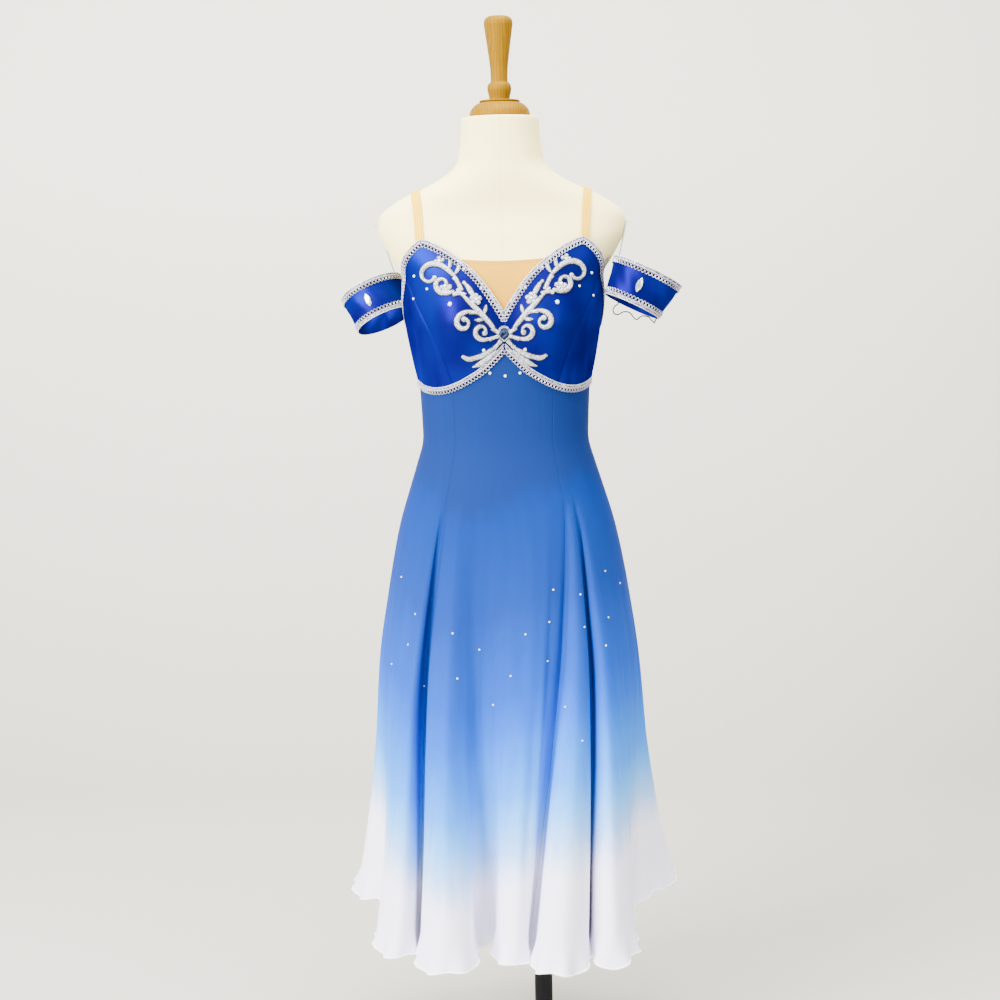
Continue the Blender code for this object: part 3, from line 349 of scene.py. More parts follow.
# Trims and straps.
STRAP_WIDTH = 0.0122
STRAP_INNER, STRAP_OUTER, STRAP_CROWN = 0.0012, 0.0024, 0.0002
RIDGE_SEARCH = (1.15, 1.395)
IN_SHOULDER = (0.11, 0.004, 1.27)
STRAP_TOP_X = 0.127
STRAP_BACK_X = 0.088
STRAP_FRONT_X = 0.119
STRAP_FRONT_Z = 1.272
STRAP_BACK_Z = 1.170
INSERT_TOP = 1.2590
INSERT_BOTTOM = 1.1640
INSERT_TUCK = 4.0
INSERT_DIP = 0.0045
INSERT_INNER, INSERT_OUTER = 0.0015, 0.0024
INSERT_TURNED, INSERT_TURNING = 0.0035, 0.0006

# Armbands: hollow tapered rings that hang beside the bodice.
ARMBANDS = {
    # centre, tilt outward, tilt back, half width at the top, taper, depth share
    "l": ((-0.1900, 0.048, 1.1937), -23.7, 18.9, 0.0476, 0.0044, 0.86),
    "r": ((0.2010, -0.040, 1.2112), 26.2, 4.9, 0.0523, 0.0103, 0.90),
}
BAND_HEIGHT = 0.0560
BAND_WALL = 0.0013
BRAID_OVERHANG = 0.0003
SHOULDER_PINS = {"l": (-100.0, 1.310), "r": (80.0, 1.310)}
PIN_SHAFT_RADIUS = 0.0006
PIN_LOOP_PLACE = 0.0032
LOOP_RADIUS = 0.0008
LOOP_GAP = 0.0009
PIN_CLEARANCE = 0.0003
LOOP_TURNS = {"l": 64.0, "r": -120.0}
ELASTIC_RADIUS = 0.0006
ELASTIC_COVER = 0.0003
ELASTIC_CATCH = 0.004
ELASTIC_TURNS = (-75.0, 75.0)
ELASTIC_ROUTE = [
    # x, y, z of the loose elastic between its two ends, below the band at +X
    (0.1625, -0.053, 1.1990),
    (0.1682, -0.054, 1.1918),
    (0.1612, -0.055, 1.1847),
    (0.1608, -0.056, 1.1775),
    (0.1666, -0.057, 1.1744),
    (0.1754, -0.058, 1.1784),
    (0.1841, -0.059, 1.1770),
    (0.1899, -0.060, 1.1699),
    (0.1946, -0.061, 1.1669),
    (0.2015, -0.062, 1.1719),
    (0.2103, -0.063, 1.1707),
    (0.2165, -0.060, 1.1648),
    (0.2203, -0.055, 1.1618),
    (0.2224, -0.0512, 1.1650),
]

# Beaded scrolls on the cups: each is a curl whose bend grows evenly along its length.
SCROLLS = [
    # name, start x, start z, heading, length, bend at the start, bend at the end, width
    ("stem", 0.0135, 1.1580, 52.0, 0.0780, -4.0, 2.0, 0.0066),
    ("crown", 0.0680, 1.2330, 45.0, 0.0900, 6.0, -118.0, 0.0066),
    ("outer_curl", 0.0700, 1.2135, -28.0, 0.0600, 24.0, 170.0, 0.0062),
    ("inner_leaf", 0.0425, 1.2035, 64.0, 0.0270, 0.0, -30.0, 0.0060),
    ("middle_curl", 0.0485, 1.1840, 0.0, 0.0600, -30.0, -180.0, 0.0062),
    ("lower_curl", 0.0215, 1.1460, -22.0, 0.0520, 40.0, 180.0, 0.0060),
    ("wing", 0.0150, 1.1315, -34.0, 0.0500, 0.0, 46.0, 0.0066),
]
# Radius of the dark cords of painted shadow along the edges of the scrolls.
SHADOW_CORD_RADIUS = 0.0009
CENTRE_STONE = (0.0072, 0.0088)
CENTRE_STONE_HEIGHT = 0.0040
CENTRE_STONE_Z = 1.1520
BAND_STONE = (0.0048, 0.0108)
BAND_STONE_HEIGHT = 0.0032
STONE_SEAT = 0.0006
RIM_RADIUS = 0.0007
RIM_BEAD = 0.0009
BAND_STONE_TURNS = {"l": -11.0, "r": -8.0}


def colour_choice(name, description, red, green, blue):
    """A colour property, in the linear values that a shader takes."""
    return FloatVectorProperty(
        name=name, description=description, subtype="COLOR", min=0, max=1, default=(red, green, blue)
    )


def length_choice(name, description, default, low, high):
    """A length property in metres."""
    return FloatProperty(
        name=name, description=description, unit="LENGTH", default=default, min=low, max=high, precision=4
    )


def angle_choice(name, description, degrees):
    """An angle property, given in degrees and kept in radians."""
    return FloatProperty(name=name, description=description, subtype="ANGLE", default=math.radians(degrees))


def number_choice(name, description, default, low=0.0):
    """A property without a unit."""
    return FloatProperty(name=name, description=description, default=default, min=low)


def count_choice(name, description, default, low, high):
    """A whole number of rows or columns."""
    return IntProperty(name=name, description=description, default=default, min=low, max=high)


class DressSizes(bpy.types.PropertyGroup):
    """Sizes of the cloth and trims that can change without moving the parts that carry them."""

    skirt_steps: count_choice("Skirt steps", "Columns of cloth between two fold lines", 8, 2, 12)
    skirt_rows: count_choice("Skirt rows", "Rows from underbust to hem", 84, 20, 140)
    bodice_rows: count_choice("Bodice rows", "Rows up a bodice panel", 44, 8, 80)
    hem_wave: length_choice("Hem wave", "How far the rolled hem waves in and out", 0.0048, 0.0, 0.008)
    hem_flare: length_choice("Hem flare", "How far the rolled hem turns out", 0.0045, 0.0, 0.01)
    hem_wave_pitch: length_choice("Hem wave pitch", "Length of one wave of the rolled hem", 0.038, 0.02, 0.1)
    hem_roll: length_choice("Hem roll", "Radius of the rolled hem", 0.0017, 0.0005, 0.003)
    ring_pitch: length_choice("Ring pitch", "Spacing of the braid's rings", 0.0054, 0.004, 0.01)
    rhinestone: length_choice("Rhinestone", "Radius of a small stone on the cloth", 0.0020, 0.001, 0.004)


class DressColours(bpy.types.PropertyGroup):
    """Colours of the cloths, trims and form."""

    satin: colour_choice("Satin", "Royal blue satin", 0.0024, 0.0082, 0.145)
    # Painted shade: a darker, more violet copy of the satin, mixed in by cloud noise to stand for satin
    # turned from the light.
    satin_deep: colour_choice("Deep satin", "Darker clouds of the satin", 0.0040, 0.0028, 0.080)
    dye_top: colour_choice("Crepe top", "Crepe at the waist", 0.0065, 0.021, 0.112)
    dye_hip: colour_choice("Crepe hip", "Crepe where it starts to fade", 0.0068, 0.034, 0.210)
    dye_middle: colour_choice("Crepe middle", "Crepe where it has half faded", 0.0070, 0.090, 0.510)
    dye_low: colour_choice("Crepe low", "Crepe just above the white", 0.085, 0.345, 0.820)
    hem: colour_choice("Hem", "Crepe at the hem", 0.80, 0.78, 0.92)
    net: colour_choice("Net", "Nude net over the form", 0.50, 0.25, 0.012)
    strap: colour_choice("Strap", "Nude elastic straps", 0.85, 0.50, 0.012)
    silver: colour_choice("Silver", "Silver thread and bead", 0.50, 0.48, 0.58)
    beads: colour_choice("Beads", "White and silver beading", 0.80, 0.80, 0.79)
    form: colour_choice("Form", "Jersey of the dress form", 0.93, 0.80, 0.36)
    wood: colour_choice("Wood", "Varnished wood", 0.185, 0.088, 0.0004)
    backdrop: colour_choice("Backdrop", "Floor and backdrop", 0.84, 0.82, 0.72)


class DressStage(bpy.types.PropertyGroup):
    """The camera and the studio light."""

    camera_x: length_choice("Camera x", "Camera to the side", -0.0106, -1.0, 1.0)
    camera_distance: length_choice("Camera distance", "Camera in front of the form", 2.5, 1.0, 6.0)
    camera_height: length_choice("Camera height", "Camera above the floor", 1.2474, 0.2, 3.0)
    tilt: angle_choice("Tilt", "Camera turned down", 8)
    roll: angle_choice("Roll", "Camera turned about its view", -1.1)
    lens: number_choice("Lens", "Focal length for a 36 mm frame, in mm", 59.8, 20)
    key: number_choice("Key light", "Soft light from the left front, in watts", 900)
    fill: number_choice("Fill light", "Soft light from the right front, in watts", 110)
    top: number_choice("Top light", "Soft light from above the front, in watts", 300)
    world: number_choice("Room light", "Even light of a white room", 0.45)


# Materials.


class Value:
    """A socket of a material. Sums, products and powers of values add the Math nodes that work them out."""

    def __init__(self, finish, socket):
        self.finish = finish
        self.socket = socket

    def maths(self, operation, *terms):
        return self.finish.node("Math", {"operation": operation}, dict(enumerate(terms)))

    def __add__(self, other):
        return self.maths("ADD", self, other)

    def __sub__(self, other):
        return self.maths("SUBTRACT", self, other)

    def __rsub__(self, other):
        return self.maths("SUBTRACT", other, self)

    def __mul__(self, other):
        return self.maths("MULTIPLY", self, other)

    __radd__ = __add__
    __rmul__ = __mul__


class Finish:
    """A node material that is written as expressions."""

    def __init__(self, name):
        self.material = bpy.data.materials.new(name)
        self.material.use_nodes = True
        self.tree = self.material.node_tree
        self.tree.nodes.clear()

    def node(self, kind, settings=(), sockets=(), output=0):
        """One node: its settings first, then the values or links of its sockets, by name or number."""
        made = self.tree.nodes.new("ShaderNode" + kind)
        for key, value in dict(settings).items():
            if key == "stops":
                ramp = made.color_ramp
                while len(ramp.elements) < len(value):
                    ramp.elements.new(0.5)
                for element, (place, colour) in zip(ramp.elements, value):
                    element.position = place
                    element.color = (*colour, 1.0)
            else:
                setattr(made, key, value)
        for key, value in dict(sockets).items():
            if isinstance(value, Value):
                self.tree.links.new(value.socket, made.inputs[key])
            else:
                made.inputs[key].default_value = value
        return None if output is None else Value(self, made.outputs[output])

    def place(self, scale=(1, 1, 1), own="Object"):
        """Object coordinates, or the piece's own UV, scaled."""
        return self.node("Mapping", {}, {"Vector": self.node("TexCoord", output=own), "Scale": scale})

    def part_of(self, vector, axis):
        return self.node("SeparateXYZ", {}, {0: vector}, output=axis)

    def noise(self, vector, scale, detail=2.0, rough=0.5):
        sockets = {"Vector": vector, "Scale": scale, "Detail": detail, "Roughness": rough}
        return self.node("TexNoise", {}, sockets)

    def wave(self, value, pitch):
        """A ridge every pitch, from 0 to 1."""
        return self.node("Math", {"operation": "SINE"}, {0: value * (2 * math.pi / pitch)}) * 0.5 + 0.5

    def ramp(self, value, stops):
        return self.node("ValToRGB", {"stops": stops}, {0: value})

    def mix(self, share, first, second):
        """One colour fading to another as share goes from 0 to 1."""
        ends = {6: first, 7: second}
        ends = {key: end if isinstance(end, Value) else (*end, 1.0) for key, end in ends.items()}
        return self.node("Mix", {"data_type": "RGBA"}, {0: share, **ends}, output=2)

    def stretch(self, value, low, high):
        """0 at low and 1 at high, held beyond them."""
        return self.node("MapRange", {"clamp": True}, {0: value, 1: low, 2: high})

    def bump(self, height, distance, strength=1.0):
        return self.node("Bump", {}, {"Height": height, "Distance": distance, "Strength": strength})

    def close(self, **sockets):
        """Ends the material in a Principled shader; names use _ for a space."""
        named = {}
        for key, value in sockets.items():
            key = key.replace("_", " ")
            named[key] = (*value, 1.0) if isinstance(value, tuple) and len(value) == 3 else value
        self.node("OutputMaterial", {}, {"Surface": self.node("BsdfPrincipled", {}, named)}, output=None)
        return self.material


def chosen(name):
    """A colour of the panel, as a plain tuple."""
    return tuple(getattr(bpy.context.scene.dress_colours, name))


def tinted(colour, factor):
    return tuple(min(1.0, c * factor) for c in colour)


def royal_satin():
    """Duchess satin: fine warp lines along the cloth, faint slubs, and broad clouds of painted light and
    shade.
    """
    f = Finish("royal_satin")
    across = f.part_of(f.place(own="UV"), "X")
    slub = f.noise(f.place((900, 60, 1), own="UV"), 1.0)
    # Painted light and shade: cloud noise mixes the satin with a darker, shaded copy of its colour in broad
    # patches.
    cloud = f.noise(f.place(), 14.0, 1.0)
    colour = f.mix(f.stretch(cloud, 0.35, 0.65), chosen("satin_deep"), chosen("satin"))
    threads = f.wave(across, 0.0005) * 0.35 + slub * 0.65
    return f.close(
        Base_Color=colour,
        Roughness=0.33 + slub * 0.07,
        Metallic=0.45,
        Specular_IOR_Level=0.0,
        Specular_Tint=(0.01, 0.10, 0.90),
        Normal=f.bump(threads, 0.00005, 0.5),
    )


def blue_crepe():
    """Crepe dyed from blue at the top to white at the hem, with a pebbled surface and faint dye streaks."""
    f = Finish("blue_crepe")
    dye = f.node("Attribute", {"attribute_name": "dye"}, output="Fac")
    streak = f.noise(f.place((70, 70, 2.5)), 1.0, 3.0)
    cloud = f.noise(f.place(), 9.0, 2.0)
    faded = dye + (streak - 0.5) * 0.07 + (cloud - 0.5) * 0.04
    stops = [
        (0.000, chosen("dye_top")),
        (0.067, (0.0040, 0.025, 0.160)),
        (0.283, chosen("dye_hip")),
        (0.493, (0.0060, 0.060, 0.370)),
        (0.578, chosen("dye_middle")),
        (0.652, (0.0110, 0.150, 0.630)),
        (0.727, (0.0260, 0.205, 0.720)),
        (0.800, chosen("dye_low")),
        (0.870, (0.27, 0.47, 0.85)),
        (0.955, chosen("hem")),
    ]
    crinkle = f.noise(f.place((420, 9, 1), own="UV"), 1.0, 2.0)
    pebble = f.noise(f.place((1500, 1500, 700)), 1.0, 2.0, 0.6)
    return f.close(
        Base_Color=f.ramp(faded, stops),
        Roughness=0.55 + pebble * 0.14,
        Specular_IOR_Level=0.02,
        Specular_Tint=(0.1, 0.5, 1.0),
        Normal=f.bump(pebble * 0.25 + crinkle, 0.0005, 0.45),
    )


def white_thread():
    """The hem's roll: white thread worked closely over the turned edge."""
    f = Finish("white_thread")
    stitch = f.wave(f.part_of(f.place(own="UV"), "Y"), 0.0007)
    colour = f.mix(stitch, (0.86, 0.86, 0.88), (1.0, 1.0, 1.0))
    return f.close(Base_Color=colour, Roughness=0.5, Normal=f.bump(stitch, 0.0002, 0.6))


def nude_mesh():
    """Fine power net: two crossing sets of threads with small holes between them."""
    f = Finish("nude_mesh")
    cloth = f.place(own="UV")
    holes = f.wave(f.part_of(cloth, "X"), 0.0011) * f.wave(f.part_of(cloth, "Y"), 0.0011)
    colour = f.mix(holes * 0.5, chosen("net"), tinted(chosen("net"), 0.82))
    return f.close(
        Base_Color=colour, Roughness=0.72, Specular_IOR_Level=0.1, Normal=f.bump(1 - holes, 0.00015, 0.6)
    )


def nude_elastic():
    """Strap elastic: ribs along its length and a fine weft across them."""
    f = Finish("nude_elastic")
    cloth = f.place(own="UV")
    ribs = f.wave(f.part_of(cloth, "X"), 0.0040)
    weft = f.wave(f.part_of(cloth, "Y"), 0.0008)
    colour = f.mix(ribs, tinted(chosen("strap"), 0.72), chosen("strap"))
    relief = f.bump(ribs * 0.8 + weft * 0.2, 0.0003, 0.7)
    return f.close(Base_Color=colour, Roughness=0.52, Specular_IOR_Level=0.12, Normal=relief)


def silver_thread():
    """Metal thread: silver, brightened in fine specks as painted glints and darker between its turns as
    painted shade.
    """
    f = Finish("silver_thread")
    glint = f.noise(f.place(), 1100.0, 2.0, 0.7)
    # Painted glint: fine noise lifts the silver to full brightness in specks and dims it to about a third
    # elsewhere.
    colour = f.mix(f.stretch(glint, 0.35, 0.6), tinted(chosen("silver"), 0.35), chosen("silver"))
    relief = f.bump(glint, 0.0003, 0.6)
    return f.close(Base_Color=colour, Roughness=0.22 + glint * 0.25, Metallic=0.85, Normal=relief)


def sequins(f, scale, colours, distance):
    """Colour, bump and tone of small discs laid close, from the cells of a Voronoi pattern, with painted
    shade towards the gaps between them.
    """
    spread = {"Vector": f.place(), "Scale": scale, "Randomness": 0.8}
    tone = f.part_of(f.node("TexVoronoi", {"feature": "F1"}, spread, output="Color"), "X")
    middle = f.node("TexVoronoi", {"feature": "F1"}, spread, output="Distance")
    shade = f.stretch(middle, 0.30, 0.62)
    # Painted shade: each disc's colour darkens to near black towards the gaps between the discs.
    colour = f.mix(shade * 0.75, f.ramp(tone, colours), (0.05, 0.045, 0.08))
    return colour, f.bump(tone - shade, distance, 0.9), tone


def sequin_strip():
    """The braid's outer strip: lilac and silver sequins, each from dark to bright as painted glints, with
    painted shade in the gaps.
    """
    f = Finish("sequin_strip")
    # Painted glints: each sequin takes a random tone from dark lilac to near white, standing for discs turned
    # to or from the light.
    stops = [
        (0.0, (0.08, 0.07, 0.14)),
        (0.35, (0.22, 0.19, 0.32)),
        (0.65, (0.42, 0.40, 0.52)),
        (0.9, (0.85, 0.85, 0.9)),
    ]
    colour, normal, tone = sequins(f, 640.0, stops, 0.0006)
    return f.close(Base_Color=colour, Roughness=0.2 + tone * 0.3, Metallic=0.55, Normal=normal)


def beaded_white():
    """White beading: small iridescent sequins and beads worked close together, with painted shade in the gaps
    between them.
    """
    f = Finish("beaded_white")
    stops = [
        (0.0, (0.24, 0.23, 0.32)),
        (0.2, (0.48, 0.54, 0.50)),
        (0.45, chosen("beads")),
        (0.8, (0.88, 0.88, 0.86)),
        (0.97, (0.62, 0.60, 0.74)),
    ]
    colour, normal, tone = sequins(f, 560.0, stops, 0.0006)
    rough = 0.3 + tone * 0.3
    return f.close(Base_Color=colour, Roughness=rough, Coat_Weight=0.3, Coat_Roughness=0.2, Normal=normal)


def clouded(name, scale, first, second, rough, spread, detail=1.0, **more):
    """A finish of two tones that drift into each other, rougher by the spread where the second is."""
    f = Finish(name)
    cloud = f.noise(f.place(), scale, detail)
    return f.close(Base_Color=f.mix(cloud, first, second), Roughness=rough + cloud * spread, **more)


def dark_cord():
    """Near-black cord along the beadwork's edges: painted shadow, standing for the shade where the raised
    strokes meet the satin.
    """
    dark, light = (0.004, 0.004, 0.014), (0.030, 0.030, 0.060)
    return clouded("dark_cord", 900.0, dark, light, 0.4, 0.2, Specular_IOR_Level=0.06)


def midnight_foil():
    """Painted shadow: dark dots that stand for the shade seen through the holes of the braid's rings."""
    dark, light = (0.0015, 0.0015, 0.012), (0.006, 0.006, 0.030)
    return clouded("midnight_foil", 500.0, dark, light, 0.5, 0.2, Specular_IOR_Level=0.05)


def pearl():
    """Small pearls and silver-lined seed beads."""
    warm, cool = (0.80, 0.80, 0.76), (0.64, 0.66, 0.72)
    return clouded("pearl", 260.0, warm, cool, 0.2, 0.12, Coat_Weight=0.5, Coat_Roughness=0.1)


def crystal():
    """Foiled crystal: pale, with its coloured fire painted in as flashes of painted reflection that change
    from stone to stone.
    """
    f = Finish("crystal")
    fire = f.noise(f.place(), 330.0, 1.0)
    # Painted reflection: noise paints pale blue, green and white flashes into the colour, standing for the
    # stone's fire.
    stops = [
        (0.30, (0.50, 0.78, 0.95)),
        (0.45, (0.92, 0.97, 1.0)),
        (0.55, (0.62, 0.90, 0.84)),
        (0.70, (0.95, 0.90, 0.98)),
    ]
    colour = f.ramp(fire, stops)
    rough = 0.06 + fire * 0.06
    return f.close(Base_Color=colour, Roughness=rough, Metallic=0.8, Coat_Weight=0.8, Coat_Roughness=0.03)


def smoke_crystal():
    """The big drop stone: dark blue-grey crystal, with lighter patches as painted reflections of light caught
    in its depth.
    """
    f = Finish("smoke_crystal")
    depth = f.noise(f.place(), 240.0, 2.0)
    # Painted reflection: noise lifts patches of the stone towards a lighter blue-grey, standing for light
    # caught in its facets.
    stops = [(0.38, (0.002, 0.004, 0.012)), (0.52, (0.006, 0.012, 0.032)), (0.66, (0.035, 0.060, 0.12))]
    return f.close(Base_Color=f.ramp(depth, stops), Roughness=0.10 + depth * 0.05, Specular_IOR_Level=0.07)


def clear_elastic():
    """Clear plastic elastic."""
    dull, bright = (0.28, 0.28, 0.27), (0.50, 0.50, 0.48)
    return clouded("clear_elastic", 300.0, dull, bright, 0.14, 0.1, detail=2.0, Alpha=0.80, Coat_Weight=0.4)


def brown_elastic():
    """Round covered elastic: a wound thread over its core."""
    f = Finish("brown_elastic")
    cloth = f.place(own="UV")
    winding = f.wave(f.part_of(cloth, "Y") + f.part_of(cloth, "X") * 0.4, 0.0008)
    colour = f.mix(winding, (0.004, 0.003, 0.002), (0.016, 0.011, 0.006))
    relief = f.bump(winding, 0.0002, 0.8)
    return f.close(Base_Color=colour, Roughness=0.7, Specular_IOR_Level=0.03, Normal=relief)


def form_jersey():
    """Stretched cotton jersey with a sewn seam down the middle of the form."""
    f = Finish("form_jersey")
    x = f.part_of(f.place(), "X")
    knit = f.noise(f.place((1300, 1300, 800)), 1.0, 2.0)
    cloud = f.noise(f.place(), 6.0, 3.0)
    seam = f.node("Math", {"operation": "EXPONENT"}, {0: x * x * -900000.0})
    colour = f.mix(f.stretch(cloud, 0.3, 0.7), tinted(chosen("form"), 0.95), chosen("form"))
    colour = f.mix(seam * 0.20, colour, tinted(chosen("form"), 0.6))
    return f.close(
        Base_Color=colour,
        Roughness=0.75 + knit * 0.12,
        Specular_IOR_Level=0.15,
        Normal=f.bump(knit * 0.25 - seam, 0.0005, 0.5),
    )


def varnished_wood():
    """Turned beech or pine: long grain up the turning, and a clear varnish."""
    f = Finish("varnished_wood")
    drift = f.noise(f.place((30, 30, 5)), 1.0, 2.0)
    bands = {"wave_type": "BANDS", "bands_direction": "X"}
    size = {"Vector": f.place((1, 1, 0.12)), "Scale": 75.0}
    warp = {"Distortion": 7.0, "Detail": 3.0, "Detail Scale": 1.4}
    grain = f.node("TexWave", bands, {**size, **warp}, output="Fac")
    pores = f.noise(f.place((900, 900, 40)), 1.0, 2.0)
    tone = f.mix(grain * 0.5 + drift * 0.35, tinted(chosen("wood"), 1.12), tinted(chosen("wood"), 0.55))
    colour = f.mix(f.stretch(pores, 0.58, 0.75) * 0.35, tone, tinted(chosen("wood"), 0.35))
    return f.close(
        Base_Color=colour,
        Roughness=0.42 + pores * 0.15,
        Specular_IOR_Level=0.12,
        Specular_Tint=(1.0, 0.7, 0.2),
        Normal=f.bump(pores, 0.0001, 0.4),
    )


def black_metal():
    """Powder-coated steel."""
    f = Finish("black_metal")
    grit = f.noise(f.place(), 900.0, 2.0)
    wear = f.noise(f.place(), 14.0, 3.0)
    colour = f.mix(wear, (0.004, 0.004, 0.005), (0.008, 0.008, 0.009))
    relief = f.bump(grit, 0.0002, 0.35)
    return f.close(Base_Color=colour, Roughness=0.5 + wear * 0.2, Specular_IOR_Level=0.12, Normal=relief)


def pin_steel():
    """Bright steel of a dressmaker's pin."""
    f = Finish("pin_steel")
    drawn = f.noise(f.place((900, 900, 900)), 1.0)
    return f.close(Base_Color=(0.62, 0.62, 0.64), Roughness=0.18 + drawn * 0.15, Metallic=1.0)


def studio_paper():
    """Matt backdrop, with painted shade: darker towards the floor, at about 0.62 of its colour on the ground,
    with faint noise.
    """
    f = Finish("studio_paper")
    # Painted shade: the paper darkens from 1.6 m down to the floor, standing for the shade near the ground.
    rise = f.stretch(f.part_of(f.place(), "Z"), 0.0, 1.6) * 0.9 + f.noise(f.place(), 0.8, 2.0) * 0.1
    colour = f.mix(rise, tinted(chosen("backdrop"), 0.62), chosen("backdrop"))
    return f.close(Base_Color=colour, Roughness=0.9)


FINISHES = {}


def finish_of(maker):
    """A material, made the first time it is asked for."""
    if maker.__name__ not in FINISHES:
        FINISHES[maker.__name__] = maker()
    return FINISHES[maker.__name__]


# Surfaces.


def grid_quads(rows, columns, around=False, along=False):
    """Corners of a grid's quads; around and along join the last column or row to the first."""
    r = np.arange(rows if along else rows - 1)[:, None]
    c = np.arange(columns if around else columns - 1)[None, :]
    corner_rows = [r + 0 * c, r + 0 * c, r + 1 + 0 * c, r + 1 + 0 * c]
    corner_columns = [c + 0 * r, c + 1 + 0 * r, c + 1 + 0 * r, c + 0 * r]
    stack = [np.stack([a.ravel() for a in part], axis=1) for part in (corner_rows, corner_columns)]
    return stack[0], stack[1]


def volume_of(points, faces):
    """Volume inside closed faces: the signed tetrahedra from the middle to each triangle, added up."""
    centred = points - points.mean(axis=0)
    total = 0.0
    for group in faces:
        for k in range(1, group.shape[1] - 1):
            a, b, c = centred[group[:, 0]], centred[group[:, k]], centred[group[:, k + 1]]
            total += float((a * np.cross(b, c)).sum()) / 6
    return total


def stack_faces(rows, sides):
    """Quads and end triangles of a stack of rings, whose points are followed by its first and last pole."""
    corner_rows, corner_columns = grid_quads(rows, sides, around=True)
    quads = corner_rows * sides + corner_columns % sides
    here = np.arange(sides)
    beside = (here + 1) % sides
    top = (rows - 1) * sides
    first, last = np.full(sides, rows * sides), np.full(sides, rows * sides + 1)
    fans = [np.stack([first, beside, here], axis=1), np.stack([last, top + here, top + beside], axis=1)]
    return quads, np.concatenate(fans)


def facing_out(points, faces):
    """A closed shape with its faces turned out, by the sign of its volume."""
    return points, [group[:, ::-1] for group in faces] if volume_of(points, faces) < 0 else faces


class Shape:
    """Closed surfaces gathered into one object."""

    def __init__(self):
        self.points, self.faces, self.uvs, self.finish_numbers, self.dyes = [], [], [], [], []
        self.count = 0

    def add(self, points, faces, uvs=None, finish=0, dye=None):
        """Closed faces over points, turned to face out by the sign of their volume."""
        points = np.asarray(points, float).reshape(-1, 3)
        uvs = uvs or [np.zeros((*group.shape, 2)) for group in faces]
        if volume_of(points, faces) < 0:
            faces, uvs = [g[:, ::-1] for g in faces], [u[:, ::-1] for u in uvs]
        self.points.append(points)
        self.dyes.append(np.zeros(len(points)) if dye is None else np.asarray(dye, float).ravel())
        for group, places in zip(faces, uvs):
            self.faces.append(group + self.count)
            self.uvs.append(places)
            self.finish_numbers.append(np.full(len(group), finish))
        self.count += len(points)

    def tube(self, route, radius, sides=10, closed=False, reference=None, finish=0):
        """A round cord: circles of that radius, square to the route, joined one to the next."""
        route = np.asarray(route, float)
        if closed:
            along = np.roll(route, -1, axis=0) - np.roll(route, 1, axis=0)
        else:
            along = np.gradient(route, axis=0)
        along /= np.linalg.norm(along, axis=1, keepdims=True)
        side = np.cross(along, np.array((0.0, 1.0, 0.0) if reference is None else reference))
        side /= np.linalg.norm(side, axis=1, keepdims=True)
        other = np.cross(along, side)
        turn = np.linspace(0, 2 * math.pi, sides, endpoint=False)[None, :, None]
        radii = np.broadcast_to(np.asarray(radius, float), len(route))[:, None, None]
        rings = route[:, None] + radii * (np.cos(turn) * side[:, None] + np.sin(turn) * other[:, None])
        run = np.linalg.norm(np.diff(route, axis=0), axis=1).mean()
        width = 2 * math.pi * float(radii.mean()) / sides
        rows, columns = grid_quads(len(route), sides, around=True, along=closed)
        uv = np.stack([columns * width, rows * run], axis=-1)
        if closed:
            self.add(rings, [(rows % len(route)) * sides + columns % sides], [uv], finish)
            return
        quads, fans = stack_faces(len(route), sides)
        points = np.concatenate([rings.reshape(-1, 3), route[[0, -1]]])
        self.add(points, [quads, fans], [uv, np.zeros((*fans.shape, 2))], finish)

    def wall(self, points, normals, inner, outer, around=False, finish=0, dye=None):
        """A wall of cloth: a grid moved out along its normals to both faces, and joined at its edges."""
        rows, columns = points.shape[:2]
        outer = np.broadcast_to(np.asarray(outer, float), (rows, columns))[..., None]
        inner = np.broadcast_to(np.asarray(inner, float), (rows, columns))[..., None]
        both = np.concatenate([points + normals * outer, (points + normals * inner)[::-1]])
        corner_rows, corner_columns = grid_quads(2 * rows, columns, around, along=True)
        quads = (corner_rows % (2 * rows)) * columns + corner_columns % columns
        run = np.linalg.norm(np.diff(points, axis=0), axis=-1).mean()
        width = np.linalg.norm(np.diff(points, axis=1), axis=-1).mean()
        mirrored = np.where(corner_rows < rows, corner_rows, 2 * rows - 1 - corner_rows)
        uv = np.stack([corner_columns * width, mirrored * run], axis=-1)
        if not around:
            r = np.arange(rows - 1)
            caps = []
            for column in (0, columns - 1):
                a, b = r * columns + column, (r + 1) * columns + column
                c, d = (2 * rows - 2 - r) * columns + column, (2 * rows - 1 - r) * columns + column
                caps.append(np.stack([a, b, c, d] if column == 0 else [b, a, d, c], axis=1))
            ends = np.concatenate(caps)
            quads = np.concatenate([quads, ends])
            uv = np.concatenate([uv, np.zeros((*ends.shape, 2))])
        tint = None if dye is None else np.concatenate([dye, dye[::-1]])
        self.add(both, [quads], [uv], finish, tint)

    def spin(self, profile, x, y, base, sides):
        """A turned solid: radii and heights of a profile spun round a vertical line, closed at both ends."""
        profile = np.asarray(profile, float)
        turn = np.linspace(0, 2 * math.pi, sides, endpoint=False)
        radius, height = profile[:, :1], base + profile[:, 1:]
        rings = np.stack([x + radius * np.cos(turn), y + radius * np.sin(turn), height + 0 * turn], axis=-1)
        poles = [(x, y, height[0, 0]), (x, y, height[-1, 0])]
        points = np.concatenate([rings.reshape(-1, 3), poles])
        self.add(points, stack_faces(len(profile), sides))

    def scatter(self, shape, places, axes, sizes, finish=0):
        """Copies of a small closed shape, each scaled, turned to its place's axes and moved there."""
        points, faces = shape
        places = np.asarray(places, float).reshape(-1, 3)
        axes = np.broadcast_to(axes, (len(places), 3, 3))
        sizes = np.broadcast_to(np.asarray(sizes, float), (len(places), 3))
        scaled = points[None] * sizes[:, None, :]
        copies = np.einsum("nkj,nji->nki", scaled, axes) + places[:, None, :]
        shift = (np.arange(len(places)) * len(points))[:, None, None]
        groups = [(group[None] + shift).reshape(-1, group.shape[1]) for group in faces]
        self.add(copies, groups, finish=finish)

